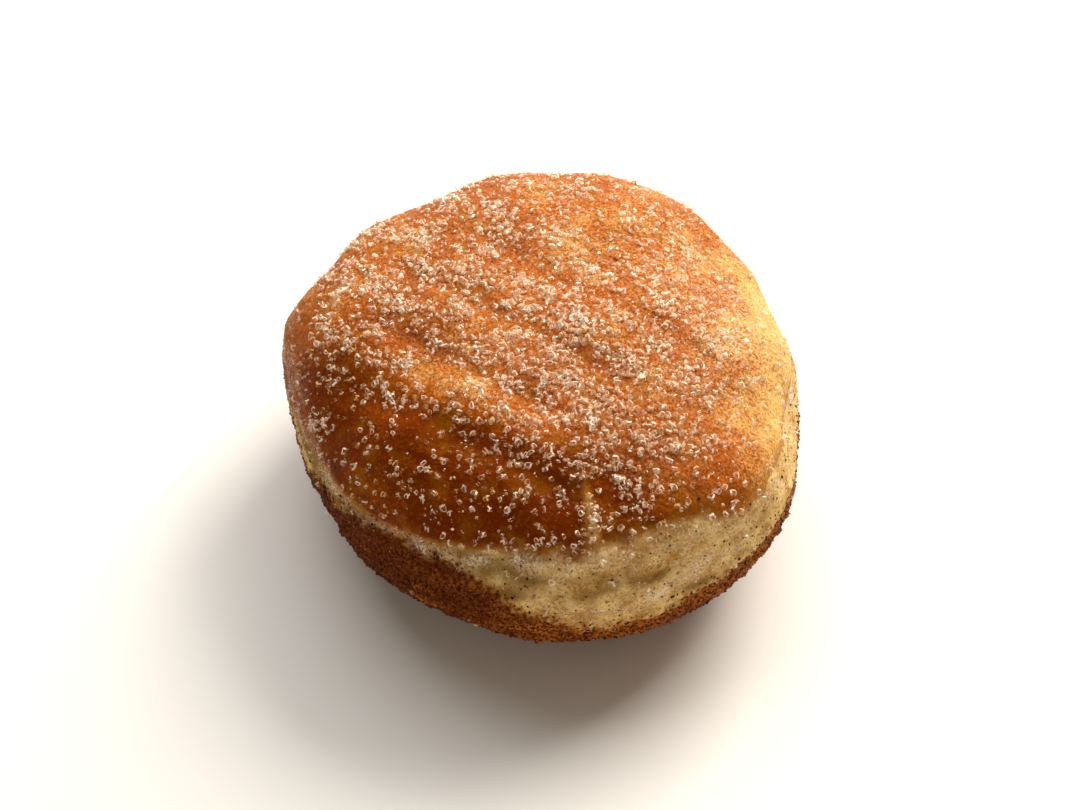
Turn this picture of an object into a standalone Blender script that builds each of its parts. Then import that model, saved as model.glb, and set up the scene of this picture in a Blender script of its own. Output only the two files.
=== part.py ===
"""Sugared, filled doughnut: one closed solid of fried dough, with its coarsest sugar crystals fused on.

The frame is +Z up, with the origin on the floor under the middle of the doughnut's outline. The front,
where the pale belt is tallest, faces -Y. Azimuths run anticlockwise from +X. The shape is worked out
about the axis of the dough, which CENTRE_SHIFT then moves a little off the origin.

The dough is a superellipse turned round +Z. Its plan outline, its creases, its swells and the belt's
two crust edges are each a short sum of waves or bell curves, so every lump has its own named size.
"""

import math
from typing import NamedTuple

import bpy
import numpy as np
from mathutils import Euler, Matrix, Vector

MM = 0.001

# ---- the turned body -------------------------------------------------------------------------------
MEAN_RADIUS = 43.7 * MM
EQUATOR_HEIGHT = 24.0 * MM      # height of the widest line above the floor
DOME_RISE = 23.0 * MM           # from the widest line up to the top
UNDERSIDE_DROP = 27.0 * MM      # from the widest line down, before the floor flattens it
FULLNESS = 2.3                  # superellipse exponent: 2 is an ellipse, more is squarer shoulders
CENTRE_SHIFT = (1.2 * MM, 0.4 * MM, 0.0)    # puts the middle of the outline over the origin

# ---- the mesh --------------------------------------------------------------------------------------
SPHERE_SUBDIVISIONS = 5         # of an icosahedron: 5 120 faces, all about 3 mm across
ROW_CROWDING = 0.7              # under 1 draws the faces towards the belt

# ---- the crust's edges and thickness ---------------------------------------------------------------
DOME_EDGE_HEIGHT = 33.0 * MM    # mean height where the dome's brown crust ends
BASE_EDGE_HEIGHT = 22.3 * MM    # mean height where the underside's brown crust begins
DOME_LIP = 0.55 * MM            # how far the dome's crust stands proud of the belt
BASE_LIP = 0.30 * MM
LIP_SOFTNESS = 1.1 * MM         # height over which a lip fades out
BELT_FOLD_DEPTH = 0.45 * MM     # the stretch groove that runs round the belt
BELT_FOLD_WIDTH = 1.5 * MM

# ---- creases across the dome, where the skin wrinkled as it cooled ---------------------------------
CREASE_DIRECTION = math.radians(-35.0)
CREASE_BOW = 250.0 * MM         # radius that the creases curve on, bulging to the front left
CREASE_END_SOFTNESS = 5.0 * MM

# ---- broad unevenness of the dough -----------------------------------------------------------------
LUMP_SEED = 344
LUMP_WAVES = 14
LUMP_LENGTHS = (15.0 * MM, 32.0 * MM)
LUMP_DEPTH = 0.16 * MM          # of each wave

# ---- coarse sugar ----------------------------------------------------------------------------------
SUGAR_SEED = 5
SUGAR_SPOTS = 1120              # evenly spread places, of which the thinly sugared areas keep few
SUGAR_SCATTER = 0.02            # how far a place strays from the even spread, as a share of the radius
SUGAR_SIDES = (1.50 * MM, 1.15 * MM, 0.95 * MM)
SUGAR_SIZE_RANGE = (0.75, 1.20)
SUGAR_TUMBLE = 0.5              # radians that a crystal leans from lying flat
SUGAR_LIFT = 0.12               # share of a crystal's thickness that its middle stands off the crust
SUGAR_LOWEST = 5.0 * MM         # none below this height, so that the doughnut rests on its crust
SUGAR_ON_SIDES = 0.05           # share of the places that keep a crystal, low on the dough
SUGAR_ON_DOME = 0.24            # added from the dome's edge up
SUGAR_ON_TOP = 0.16             # added again on top of the dome, but for the bands
GOLDEN_ANGLE = math.pi * (3.0 - math.sqrt(5.0))


class OutlineWave(NamedTuple):
    """One wave of the plan outline: `lobes` bulges round the edge, the first at `azimuth` degrees."""

    lobes: int
    height: float
    azimuth: float


class Crease(NamedTuple):
    """One groove across the dome, `offset` from the axis towards the front left."""

    offset: float
    start: float
    end: float
    depth: float
    width: float


class SugarBand(NamedTuple):
    """One stripe of thicker sugar between two creases; `share` is added to the places that keep one."""

    offset: float
    width: float
    share: float


class Swell(NamedTuple):
    """A bump, or a dent where `push` is negative: a bell curve at an azimuth in degrees and a height."""

    azimuth: float
    height: float
    across: float
    upright: float
    push: float


class Rise(NamedTuple):
    """A stretch of a crust edge that climbs, or dips where `rise` is negative."""

    azimuth: float
    spread: float
    rise: float


OUTLINE = (
    OutlineWave(2, 1.73 * MM, -70.0),
    OutlineWave(3, 1.11 * MM, 60.0),
    OutlineWave(4, 0.65 * MM, -22.0),
    OutlineWave(5, 0.15 * MM, 25.0),
    OutlineWave(7, 0.28 * MM, 11.0),
)

CREASES = (
    Crease(offset=-5.0 * MM, start=-20.0 * MM, end=26.0 * MM, depth=0.45 * MM, width=2.2 * MM),
    Crease(offset=7.2 * MM, start=-27.0 * MM, end=20.0 * MM, depth=0.65 * MM, width=2.2 * MM),
    Crease(offset=18.2 * MM, start=-23.0 * MM, end=16.0 * MM, depth=0.65 * MM, width=2.2 * MM),
    Crease(offset=28.2 * MM, start=-22.0 * MM, end=24.0 * MM, depth=1.00 * MM, width=2.6 * MM),
)

SUGAR_BANDS = (
    SugarBand(offset=-24.0 * MM, width=6.0 * MM, share=0.20),
    SugarBand(offset=-11.0 * MM, width=4.5 * MM, share=0.30),
    SugarBand(offset=1.5 * MM, width=4.5 * MM, share=0.45),
    SugarBand(offset=13.0 * MM, width=4.0 * MM, share=0.50),
    SugarBand(offset=22.5 * MM, width=3.0 * MM, share=0.25),
)

SWELLS = (
    Swell(168.0, 30.0 * MM, 6.0 * MM, 8.0 * MM, 1.40 * MM),     # corner of the left shoulder
    Swell(152.0, 33.0 * MM, 6.0 * MM, 7.0 * MM, -0.90 * MM),    # hollow behind that corner
    Swell(-177.0, 21.0 * MM, 7.0 * MM, 6.0 * MM, -0.60 * MM),   # hollow under it
    Swell(51.0, 36.0 * MM, 5.0 * MM, 5.0 * MM, 0.80 * MM),      # rim at the back right
    Swell(67.0, 36.0 * MM, 6.5 * MM, 5.0 * MM, -1.20 * MM),     # hollow behind that rim
    Swell(-21.0, 22.0 * MM, 8.0 * MM, 7.0 * MM, 0.90 * MM),     # fullness low on the right
    Swell(-162.0, 20.0 * MM, 6.0 * MM, 5.0 * MM, 0.60 * MM),    # and low on the left
    Swell(32.0, 40.0 * MM, 15.0 * MM, 2.0 * MM, -0.70 * MM),    # fold that runs inside that rim
    Swell(-133.0, 41.5 * MM, 2.2 * MM, 2.2 * MM, 0.90 * MM),    # blister on the front left face
    Swell(-137.0, 36.5 * MM, 8.0 * MM, 4.0 * MM, -0.50 * MM),   # slack skin below the blister
    Swell(-80.0, 37.0 * MM, 1.4 * MM, 5.0 * MM, 0.45 * MM),     # pucker that runs down to the belt
    Swell(-78.0, 30.6 * MM, 9.0 * MM, 1.5 * MM, -0.80 * MM),    # deep part of the belt's fold
    Swell(-76.0, 26.8 * MM, 10.0 * MM, 3.0 * MM, 0.70 * MM),    # roll of dough under it
    Swell(-55.0, 33.0 * MM, 9.0 * MM, 2.4 * MM, 0.45 * MM),     # upper roll of the belt
    Swell(95.0, 28.0 * MM, 12.0 * MM, 2.5 * MM, 0.60 * MM),     # rolls of the belt at the back
    Swell(20.0, 27.0 * MM, 9.0 * MM, 2.5 * MM, 0.50 * MM),
)

DOME_EDGE = (Rise(-72.0, 35.0, 3.0 * MM), Rise(-140.0, 28.0, -3.6 * MM), Rise(60.0, 30.0, -1.8 * MM))
BASE_EDGE = (
    Rise(-130.0, 17.0, 6.0 * MM),
    Rise(-106.0, 13.0, 4.2 * MM),
    Rise(-76.0, 13.0, -2.6 * MM),
    Rise(-34.0, 12.0, 6.0 * MM),
    Rise(60.0, 25.0, -2.0 * MM),
    Rise(130.0, 30.0, 2.5 * MM),
)


def clear_scene():
    """Removes whatever the startup file or an earlier run left."""
    for obj in list(bpy.data.objects):
        bpy.data.objects.remove(obj, do_unlink=True)


def degrees_apart(azimuth, other):
    """Signed angle in degrees from `other` to each azimuth, in radians, the short way round."""
    return (np.degrees(azimuth) - other + 180.0) % 360.0 - 180.0


def bell(distance):
    """1 at a distance of 0, falling to 1/e at 1."""
    return np.exp(-(distance**2))


def ramp(value):
    """0 below -1 and 1 above 1, with a smooth climb between."""
    share = np.clip((value + 1.0) / 2.0, 0.0, 1.0)
    return share * share * (3.0 - 2.0 * share)


def outline_radius(azimuth):
    """Widest radius of the dough at each azimuth."""
    radius = np.full_like(azimuth, MEAN_RADIUS)
    for wave in OUTLINE:
        radius += wave.height * np.cos(wave.lobes * (azimuth - math.radians(wave.azimuth)))
    return radius


def edge_height(azimuth, mean_height, rises):
    """Height of a crust edge at each azimuth."""
    height = np.full_like(azimuth, mean_height)
    for rise in rises:
        height += rise.rise * bell(degrees_apart(azimuth, rise.azimuth) / rise.spread)
    return height


def crease_frame(points):
    """Distance along the creases, and distance across them towards the front left, at each point."""
    along = points[:, 0] * math.cos(CREASE_DIRECTION) + points[:, 1] * math.sin(CREASE_DIRECTION)
    aside = points[:, 0] * math.sin(CREASE_DIRECTION) - points[:, 1] * math.cos(CREASE_DIRECTION)
    return along, aside + along**2 / (2.0 * CREASE_BOW)


def crease_relief(points):
    """Depth of the dome's creases, which are arcs parallel to one direction."""
    along, bowed = crease_frame(points)
    on_dome = ramp((points[:, 2] - DOME_EDGE_HEIGHT) / (4.0 * MM))
    relief = np.zeros(len(points))
    for crease in CREASES:
        started = ramp((along - crease.start) / CREASE_END_SOFTNESS)
        ended = ramp((crease.end - along) / CREASE_END_SOFTNESS)
        groove = bell((bowed - crease.offset) / crease.width)
        relief -= crease.depth * groove * started * ended * on_dome
    return relief


def swell_relief(points, azimuth):
    """Height of the bumps and dents, measured round and up the side of the dough."""
    around = np.hypot(points[:, 0], points[:, 1])
    relief = np.zeros(len(points))
    for swell in SWELLS:
        sideways = np.radians(degrees_apart(azimuth, swell.azimuth)) * around
        upward = points[:, 2] - swell.height
        relief += swell.push * bell(sideways / swell.across) * bell(upward / swell.upright)
    return relief


def belt_relief(points, azimuth):
    """The two crust lips above and below the pale belt, and the fold between them."""
    dome_edge = edge_height(azimuth, DOME_EDGE_HEIGHT, DOME_EDGE)
    base_edge = edge_height(azimuth, BASE_EDGE_HEIGHT, BASE_EDGE)
    height = points[:, 2]
    dome_lip = DOME_LIP * ramp((height - dome_edge) / LIP_SOFTNESS)
    base_lip = BASE_LIP * ramp((base_edge - height) / LIP_SOFTNESS)
    tall = ramp((dome_edge - base_edge - 6.0 * MM) / (4.0 * MM))
    fold = bell((height - 0.5 * (dome_edge + base_edge)) / BELT_FOLD_WIDTH)
    return dome_lip + base_lip - BELT_FOLD_DEPTH * tall * fold


def lump_relief(points):
    """Broad unevenness: a sum of plane waves in seeded directions."""
    draw = np.random.default_rng(LUMP_SEED)
    relief = np.zeros(len(points))
    for _ in range(LUMP_WAVES):
        heading = draw.normal(size=3)
        heading *= math.tau / (draw.uniform(*LUMP_LENGTHS) * np.linalg.norm(heading))
        relief += LUMP_DEPTH * np.sin(points @ heading + draw.uniform(0.0, math.tau))
    return relief


def crust(directions):
    """Places each unit direction on the dough.

    A direction from the middle of the widest line meets the superellipse, then the relief moves the
    point along that surface's normal, and what would pass the floor is flattened onto it.
    Returns the points and the normals of the bare superellipse.
    """
    azimuth = np.arctan2(directions[:, 1], directions[:, 0])
    level = np.hypot(directions[:, 0], directions[:, 1])
    radius = outline_radius(azimuth)
    rise = np.where(directions[:, 2] > 0.0, DOME_RISE, UNDERSIDE_DROP)
    across = level / radius
    upright = np.abs(directions[:, 2]) / rise
    reach = (across**FULLNESS + upright**FULLNESS) ** (-1.0 / FULLNESS)
    points = directions * reach[:, None] + np.array([0.0, 0.0, EQUATOR_HEIGHT])

    outward = across ** (FULLNESS - 1.0) / radius
    upward = np.sign(directions[:, 2]) * upright ** (FULLNESS - 1.0) / rise
    normals = np.stack([outward * np.cos(azimuth), outward * np.sin(azimuth), upward], axis=1)
    normals /= np.linalg.norm(normals, axis=1)[:, None]

    relief = crease_relief(points) + swell_relief(points, azimuth)
    relief += belt_relief(points, azimuth) + lump_relief(points)
    points = points + normals * relief[:, None]
    points[:, 2] = np.maximum(points[:, 2], 0.0)
    return points, normals


def crust_zone(points):
    """0 on the dome's crust, 1 on the pale belt and 2 on the underside's crust, for each point."""
    azimuth = np.arctan2(points[:, 1], points[:, 0])
    dome_edge = edge_height(azimuth, DOME_EDGE_HEIGHT, DOME_EDGE)
    base_edge = edge_height(azimuth, BASE_EDGE_HEIGHT, BASE_EDGE)
    return np.where(points[:, 2] > dome_edge, 0, np.where(points[:, 2] > base_edge, 1, 2))


def build_dough(collection, materials):
    """The body of the doughnut: a sphere whose points are moved onto the crust.

    The three materials are those of the dome, the belt and the underside.
    """
    bpy.ops.mesh.primitive_ico_sphere_add(subdivisions=SPHERE_SUBDIVISIONS, radius=1.0)
    dough = bpy.context.object
    dough.name = "doughnut"
    for owner in list(dough.users_collection):
        owner.objects.unlink(dough)
    collection.objects.link(dough)

    mesh = dough.data
    places = np.empty(len(mesh.vertices) * 3, np.float32)
    mesh.vertices.foreach_get("co", places)
    directions = places.reshape(-1, 3).astype(float) * (1.0, 1.0, ROW_CROWDING)
    directions /= np.linalg.norm(directions, axis=1)[:, None]
    points, _ = crust(directions)
    mesh.vertices.foreach_set("co", points.astype(np.float32).ravel())
    mesh.update()
    mesh.shade_smooth()

    for material in materials:
        mesh.materials.append(material)
    middles = np.empty(len(mesh.polygons) * 3, np.float32)
    mesh.polygons.foreach_get("center", middles)
    zones = crust_zone(middles.reshape(-1, 3))
    mesh.polygons.foreach_set("material_index", zones.astype(np.int32))
    return dough


def sugar_share(points):
    """The share of the places round each point that keep a crystal."""
    azimuth = np.arctan2(points[:, 1], points[:, 0])
    dome_edge = edge_height(azimuth, DOME_EDGE_HEIGHT, DOME_EDGE)
    on_dome = ramp((points[:, 2] - dome_edge) / (3.0 * MM))
    on_top = ramp((points[:, 2] - dome_edge - 5.0 * MM) / (4.0 * MM))
    _, bowed = crease_frame(points)
    banded = sum(band.share * bell((bowed - band.offset) / band.width) for band in SUGAR_BANDS)
    return SUGAR_ON_SIDES + SUGAR_ON_DOME * on_dome + on_top * (SUGAR_ON_TOP + banded)


def sugar_places():
    """Where the coarse crystals sit, and the crust's normals there.

    A spiral with the golden angle spreads the places evenly, a seeded draw scatters them a little,
    and another thins them to where the sugar lies thickest.
    """
    draw = np.random.default_rng(SUGAR_SEED)
    turn = np.arange(SUGAR_SPOTS)
    height = 1.0 - 2.0 * (turn + 0.5) / SUGAR_SPOTS
    level = np.sqrt(1.0 - height**2)
    angle = turn * GOLDEN_ANGLE
    spots = np.stack([level * np.cos(angle), level * np.sin(angle), ROW_CROWDING * height], axis=1)
    spots += draw.normal(scale=SUGAR_SCATTER, size=spots.shape)
    spots /= np.linalg.norm(spots, axis=1)[:, None]
    points, normals = crust(spots)
    kept = draw.uniform(size=SUGAR_SPOTS) < sugar_share(points)
    kept &= points[:, 2] > SUGAR_LOWEST
    return points[kept], normals[kept]


def build_sugar(collection, material):
    """The coarse crystals: small blocks, each turned its own way and half sunk in the crust."""
    draw = np.random.default_rng(SUGAR_SEED + 1)
    for place, normal in zip(*sugar_places()):
        size = draw.uniform(*SUGAR_SIZE_RANGE)
        bpy.ops.mesh.primitive_cube_add(size=1.0)
        crystal = bpy.context.object
        crystal.name = "sugar_crystal"
        for owner in list(crystal.users_collection):
            owner.objects.unlink(crystal)
        collection.objects.link(crystal)
        tilt = Vector(normal).to_track_quat("Z", "Y")
        lean = draw.uniform(-SUGAR_TUMBLE, SUGAR_TUMBLE, size=2)
        tumble = Euler((lean[0], lean[1], draw.uniform(0.0, math.tau)))
        sides = Matrix.Diagonal([size * side for side in SUGAR_SIDES] + [1.0])
        lift = Vector(normal) * (SUGAR_LIFT * size * SUGAR_SIDES[2])
        crystal.data.transform(
            Matrix.Translation(Vector(place) + lift)
            @ tilt.to_matrix().to_4x4()
            @ tumble.to_matrix().to_4x4()
            @ sides
        )
        crystal.data.materials.append(material)


def fuse(body, collection):
    """Joins every object of the collection onto the body with one Boolean, then removes them."""
    union = body.modifiers.new("fuse_sugar", "BOOLEAN")
    union.operation = "UNION"
    union.operand_type = "COLLECTION"
    union.collection = collection
    union.solver = "EXACT"
    union.material_mode = "TRANSFER"
    bpy.context.view_layer.objects.active = body
    bpy.ops.object.modifier_apply(modifier=union.name)
    for obj in list(collection.objects):
        mesh = obj.data
        bpy.data.objects.remove(obj, do_unlink=True)
        bpy.data.meshes.remove(mesh)
    bpy.data.collections.remove(collection)


def surface(name, colour, roughness):
    """A Principled material of one colour, for the solid's own views."""
    material = bpy.data.materials.new(name)
    material.use_nodes = True
    shader = material.node_tree.nodes["Principled BSDF"]
    shader.inputs["Base Color"].default_value = (*colour, 1.0)
    shader.inputs["Roughness"].default_value = roughness
    shader.inputs["Metallic"].default_value = 0.0
    return material


def new_collection(name):
    """A collection linked to the scene."""
    collection = bpy.data.collections.new(name)
    bpy.context.scene.collection.children.link(collection)
    return collection


def main():
    clear_scene()
    pastry = new_collection("sugared_doughnut")
    loose_sugar = new_collection("loose_sugar")
    crusts = (
        surface("dome_crust", (0.50, 0.17, 0.04), 0.55),
        surface("pale_belt", (0.62, 0.46, 0.22), 0.70),
        surface("base_crust", (0.22, 0.07, 0.02), 0.75),
    )
    dough = build_dough(pastry, crusts)
    build_sugar(loose_sugar, surface("sugar", (0.90, 0.86, 0.78), 0.25))
    fuse(dough, loose_sugar)
    dough.data.transform(Matrix.Translation(CENTRE_SHIFT))


main()
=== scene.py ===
"""Sugared, filled doughnut on a pale studio floor.

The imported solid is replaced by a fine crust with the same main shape, worked out again here from the
same named sizes, and the sugar, crumbs and burnt specks lie on that crust as meshes at true size.

Everything is in metres, +Z up, with the front of the doughnut towards -Y. Azimuths are in degrees,
anticlockwise from +X. The dough's shape is worked out about its own axis, which stands CENTRE_SHIFT
away from the origin.
"""

from __future__ import annotations

import logging
import math
from dataclasses import dataclass
from enum import Enum
from typing import Any, NamedTuple

import bpy
import numpy as np
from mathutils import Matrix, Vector

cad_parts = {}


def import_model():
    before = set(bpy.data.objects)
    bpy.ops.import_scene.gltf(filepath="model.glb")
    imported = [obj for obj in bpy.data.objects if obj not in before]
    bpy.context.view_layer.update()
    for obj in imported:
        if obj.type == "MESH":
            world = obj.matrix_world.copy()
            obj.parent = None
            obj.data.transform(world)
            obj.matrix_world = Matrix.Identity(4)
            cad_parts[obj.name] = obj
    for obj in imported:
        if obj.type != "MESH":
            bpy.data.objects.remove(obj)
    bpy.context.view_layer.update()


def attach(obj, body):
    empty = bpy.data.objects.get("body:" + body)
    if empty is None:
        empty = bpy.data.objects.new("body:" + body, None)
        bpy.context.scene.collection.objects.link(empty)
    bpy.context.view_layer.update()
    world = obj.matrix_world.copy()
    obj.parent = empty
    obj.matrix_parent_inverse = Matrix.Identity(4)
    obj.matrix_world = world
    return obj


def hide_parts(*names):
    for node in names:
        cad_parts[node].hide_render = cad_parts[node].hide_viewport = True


LOG = logging.getLogger("doughnut")

MM = 0.001
NODE = "doughnut"
BODY = "root"
ZONES = "zones"                 # the crust's attribute: dome, underside, sugar, and browning with painted shade and light
TONE = "tone"                   # the grains' attribute: 0 to 1, one value a grain
COVER = "cover"                 # the grains' attribute: how much each facet hides, from 0 to 1
CENTRE_SHIFT = (1.2 * MM, 0.4 * MM, 0.0)
GOLDEN_ANGLE = math.pi * (3.0 - math.sqrt(5.0))
ASKEW = (0.31, 0.17, 0.94)      # a direction off every main axis

Array = np.ndarray


# ---- numbers and curves ----------------------------------------------------------------------------
def bell(distance: Array) -> Array:
    """1 at a distance of 0, falling to 1/e at 1."""
    return np.exp(-(distance**2))


def ramp(value: Array) -> Array:
    """0 below -1 and 1 above 1, with a smooth climb between."""
    share = np.clip((value + 1.0) / 2.0, 0.0, 1.0)
    return share * share * (3.0 - 2.0 * share)


def azimuth_of(points: Array) -> Array:
    """Azimuth of each point in radians."""
    return np.arctan2(points[:, 1], points[:, 0])


def degrees_apart(azimuth: Array, other: float) -> Array:
    """Signed angle in degrees from `other` to each azimuth, in radians, the short way round."""
    return (np.degrees(azimuth) - other + 180.0) % 360.0 - 180.0


def unit(vectors: Array) -> Array:
    """The vectors, each scaled to a length of 1."""
    return vectors / np.linalg.norm(vectors, axis=-1, keepdims=True)


def linear(colour: str) -> tuple[float, float, float, float]:
    """Turns an sRGB colour into linear light.

    Args:
        colour: The colour as a hex code.

    Returns:
        Red, green and blue from 0 to 1, and an alpha of 1.
    """
    shares = [int(colour[i : i + 2], 16) / 255.0 for i in (1, 3, 5)]
    bent = [s / 12.92 if s <= 0.04045 else ((s + 0.055) / 1.055) ** 2.4 for s in shares]
    return bent[0], bent[1], bent[2], 1.0


class Stretch(NamedTuple):
    """A stretch of the doughnut's side: an amount that falls off as a bell curve round it."""

    azimuth: float
    spread: float
    amount: float = 1.0

    def at(self, azimuth: Array) -> Array:
        """The amount that is left at each azimuth, in radians."""
        return self.amount * bell(degrees_apart(azimuth, self.azimuth) / self.spread)


class Climb(NamedTuple):
    """A smooth climb from 0 to 1 round `start`, or a fall where `fade` is negative."""

    start: float
    fade: float

    def at(self, values: Array) -> Array:
        """How far each value has climbed."""
        return ramp((values - self.start) / self.fade)


class Hump(NamedTuple):
    """A bell curve, 1 at its middle and 1/e at its width from there."""

    middle: float
    width: float

    def at(self, values: Array) -> Array:
        """Height of the bell curve at each value."""
        return bell((values - self.middle) / self.width)


class OutlineWave(NamedTuple):
    """One wave of the plan outline: `lobes` bulges round the edge, the first at `azimuth`."""

    lobes: int
    height: float
    azimuth: float

    def at(self, azimuth: Array) -> Array:
        """What the wave adds to the radius at each azimuth: a cosine."""
        return self.height * np.cos(self.lobes * (azimuth - math.radians(self.azimuth)))


class Crease(NamedTuple):
    """One groove across the dome, `offset` from the axis towards the front left."""

    offset: float
    start: float
    end: float
    depth: float
    width: float


class SugarBand(NamedTuple):
    """One stripe of thicker sugar between two creases."""

    offset: float
    width: float
    share: float


class Swell(NamedTuple):
    """A bump, or a dent where `push` is negative: a bell curve at an azimuth and a height."""

    azimuth: float
    height: float
    across: float
    upright: float
    push: float


@dataclass(frozen=True)
class CrustEdge:
    """Where a browned crust meets the pale belt: a mean height and its rises and dips."""

    height: float
    rises: tuple[Stretch, ...]

    def at(self, azimuth: Array) -> Array:
        """Height of the edge at each azimuth: the mean plus a bell curve for each rise."""
        return sum((rise.at(azimuth) for rise in self.rises), self.height)


@dataclass(frozen=True)
class Ripples:
    """Seeded unevenness that never repeats: a sum of plane waves in drawn directions."""

    seed: int
    waves: int
    lengths: tuple[float, float]
    depth: float

    def at(self, points: Array) -> Array:
        """Sum over the waves of depth times the sine of (point . heading + phase).

        Args:
            points: Places in metres, already stretched where the unevenness has a grain.

        Returns:
            One height for each point.
        """
        draw = np.random.default_rng(self.seed)
        total = np.zeros(len(points))
        for _ in range(self.waves):
            heading = draw.normal(size=3)
            heading *= math.tau / (draw.uniform(*self.lengths) * np.linalg.norm(heading))
            total += np.sin(points @ heading + draw.uniform(0.0, math.tau))
        return self.depth * total


# ---- meshes ----------------------------------------------------------------------------------------
def mesh_object(name: str, points: Array, faces: Array, smooth: bool) -> bpy.types.Object:
    """Makes a mesh from whole arrays and links its object to the scene, at the origin.

    Args:
        name: Name of the piece.
        points: Corner places about the dough's axis, one row each.
        faces: Corner numbers, one row a face, anticlockwise from outside.
        smooth: Whether the faces are shaded smooth.

    Returns:
        The new object.
    """
    mesh = bpy.data.meshes.new(name)
    placed = points + np.array(CENTRE_SHIFT)
    mesh.vertices.add(len(placed))
    mesh.vertices.foreach_set("co", placed.astype(np.float32).ravel())
    mesh.loops.add(faces.size)
    mesh.loops.foreach_set("vertex_index", faces.astype(np.int32).ravel())
    mesh.polygons.add(len(faces))
    mesh.polygons.foreach_set("loop_start", np.arange(0, faces.size, faces.shape[1], dtype=np.int32))
    mesh.polygons.foreach_set("use_smooth", np.full(len(faces), smooth))
    mesh.update(calc_edges=True)
    made = bpy.data.objects.new(name, mesh)
    bpy.context.scene.collection.objects.link(made)
    return made


def give_piece(piece: bpy.types.Object, material: bpy.types.Material) -> None:
    """Dresses a piece, rides it on the doughnut's body and logs how many faces it has.

    Args:
        piece: The mesh object.
        material: What it is made of.
    """
    piece.data.materials.append(material)
    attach(piece, BODY)
    LOG.info("%s: %d faces", piece.name, len(piece.data.polygons))


def ball_grid(cells: int) -> tuple[Array, Array]:
    """A cube's six square grids blown up to a ball, so that no two rows crowd at a pole.

    Each grid place is spaced by the tangent of its angle, then scaled to a length of 1. Places that
    two grids share are merged, so the seams are closed.

    Args:
        cells: Cells along each side of a grid.

    Returns:
        Unit directions, and the four-cornered faces between them, wound anticlockwise from outside.
    """
    step = np.arange(cells + 1)
    first, second = np.meshgrid(step, step, indexing="ij")
    sides = []
    for axis in range(3):
        for end in (0, cells):
            grid = [first, second]
            grid.insert(axis, np.full_like(first, end))
            sides.append(np.stack(grid, axis=-1))
    places = np.stack(sides).reshape(-1, 3)
    key = (places[:, 0] * (cells + 1) + places[:, 1]) * (cells + 1) + places[:, 2]
    _, kept, merged = np.unique(key, return_index=True, return_inverse=True)
    merged = merged.reshape(6, cells + 1, cells + 1)
    corners = (merged[:, :-1, :-1], merged[:, 1:, :-1], merged[:, 1:, 1:], merged[:, :-1, 1:])
    faces = np.stack(corners, axis=-1).reshape(-1, 4)
    directions = unit(np.tan((places[kept] / cells - 0.5) * (math.pi / 2.0)))
    a, b, c = (directions[faces[:, i]] for i in (0, 1, 2))
    inward = np.einsum("ij,ij->i", np.cross(b - a, c - a), a) < 0.0
    faces[inward] = faces[inward][:, ::-1]
    return directions, faces


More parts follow.
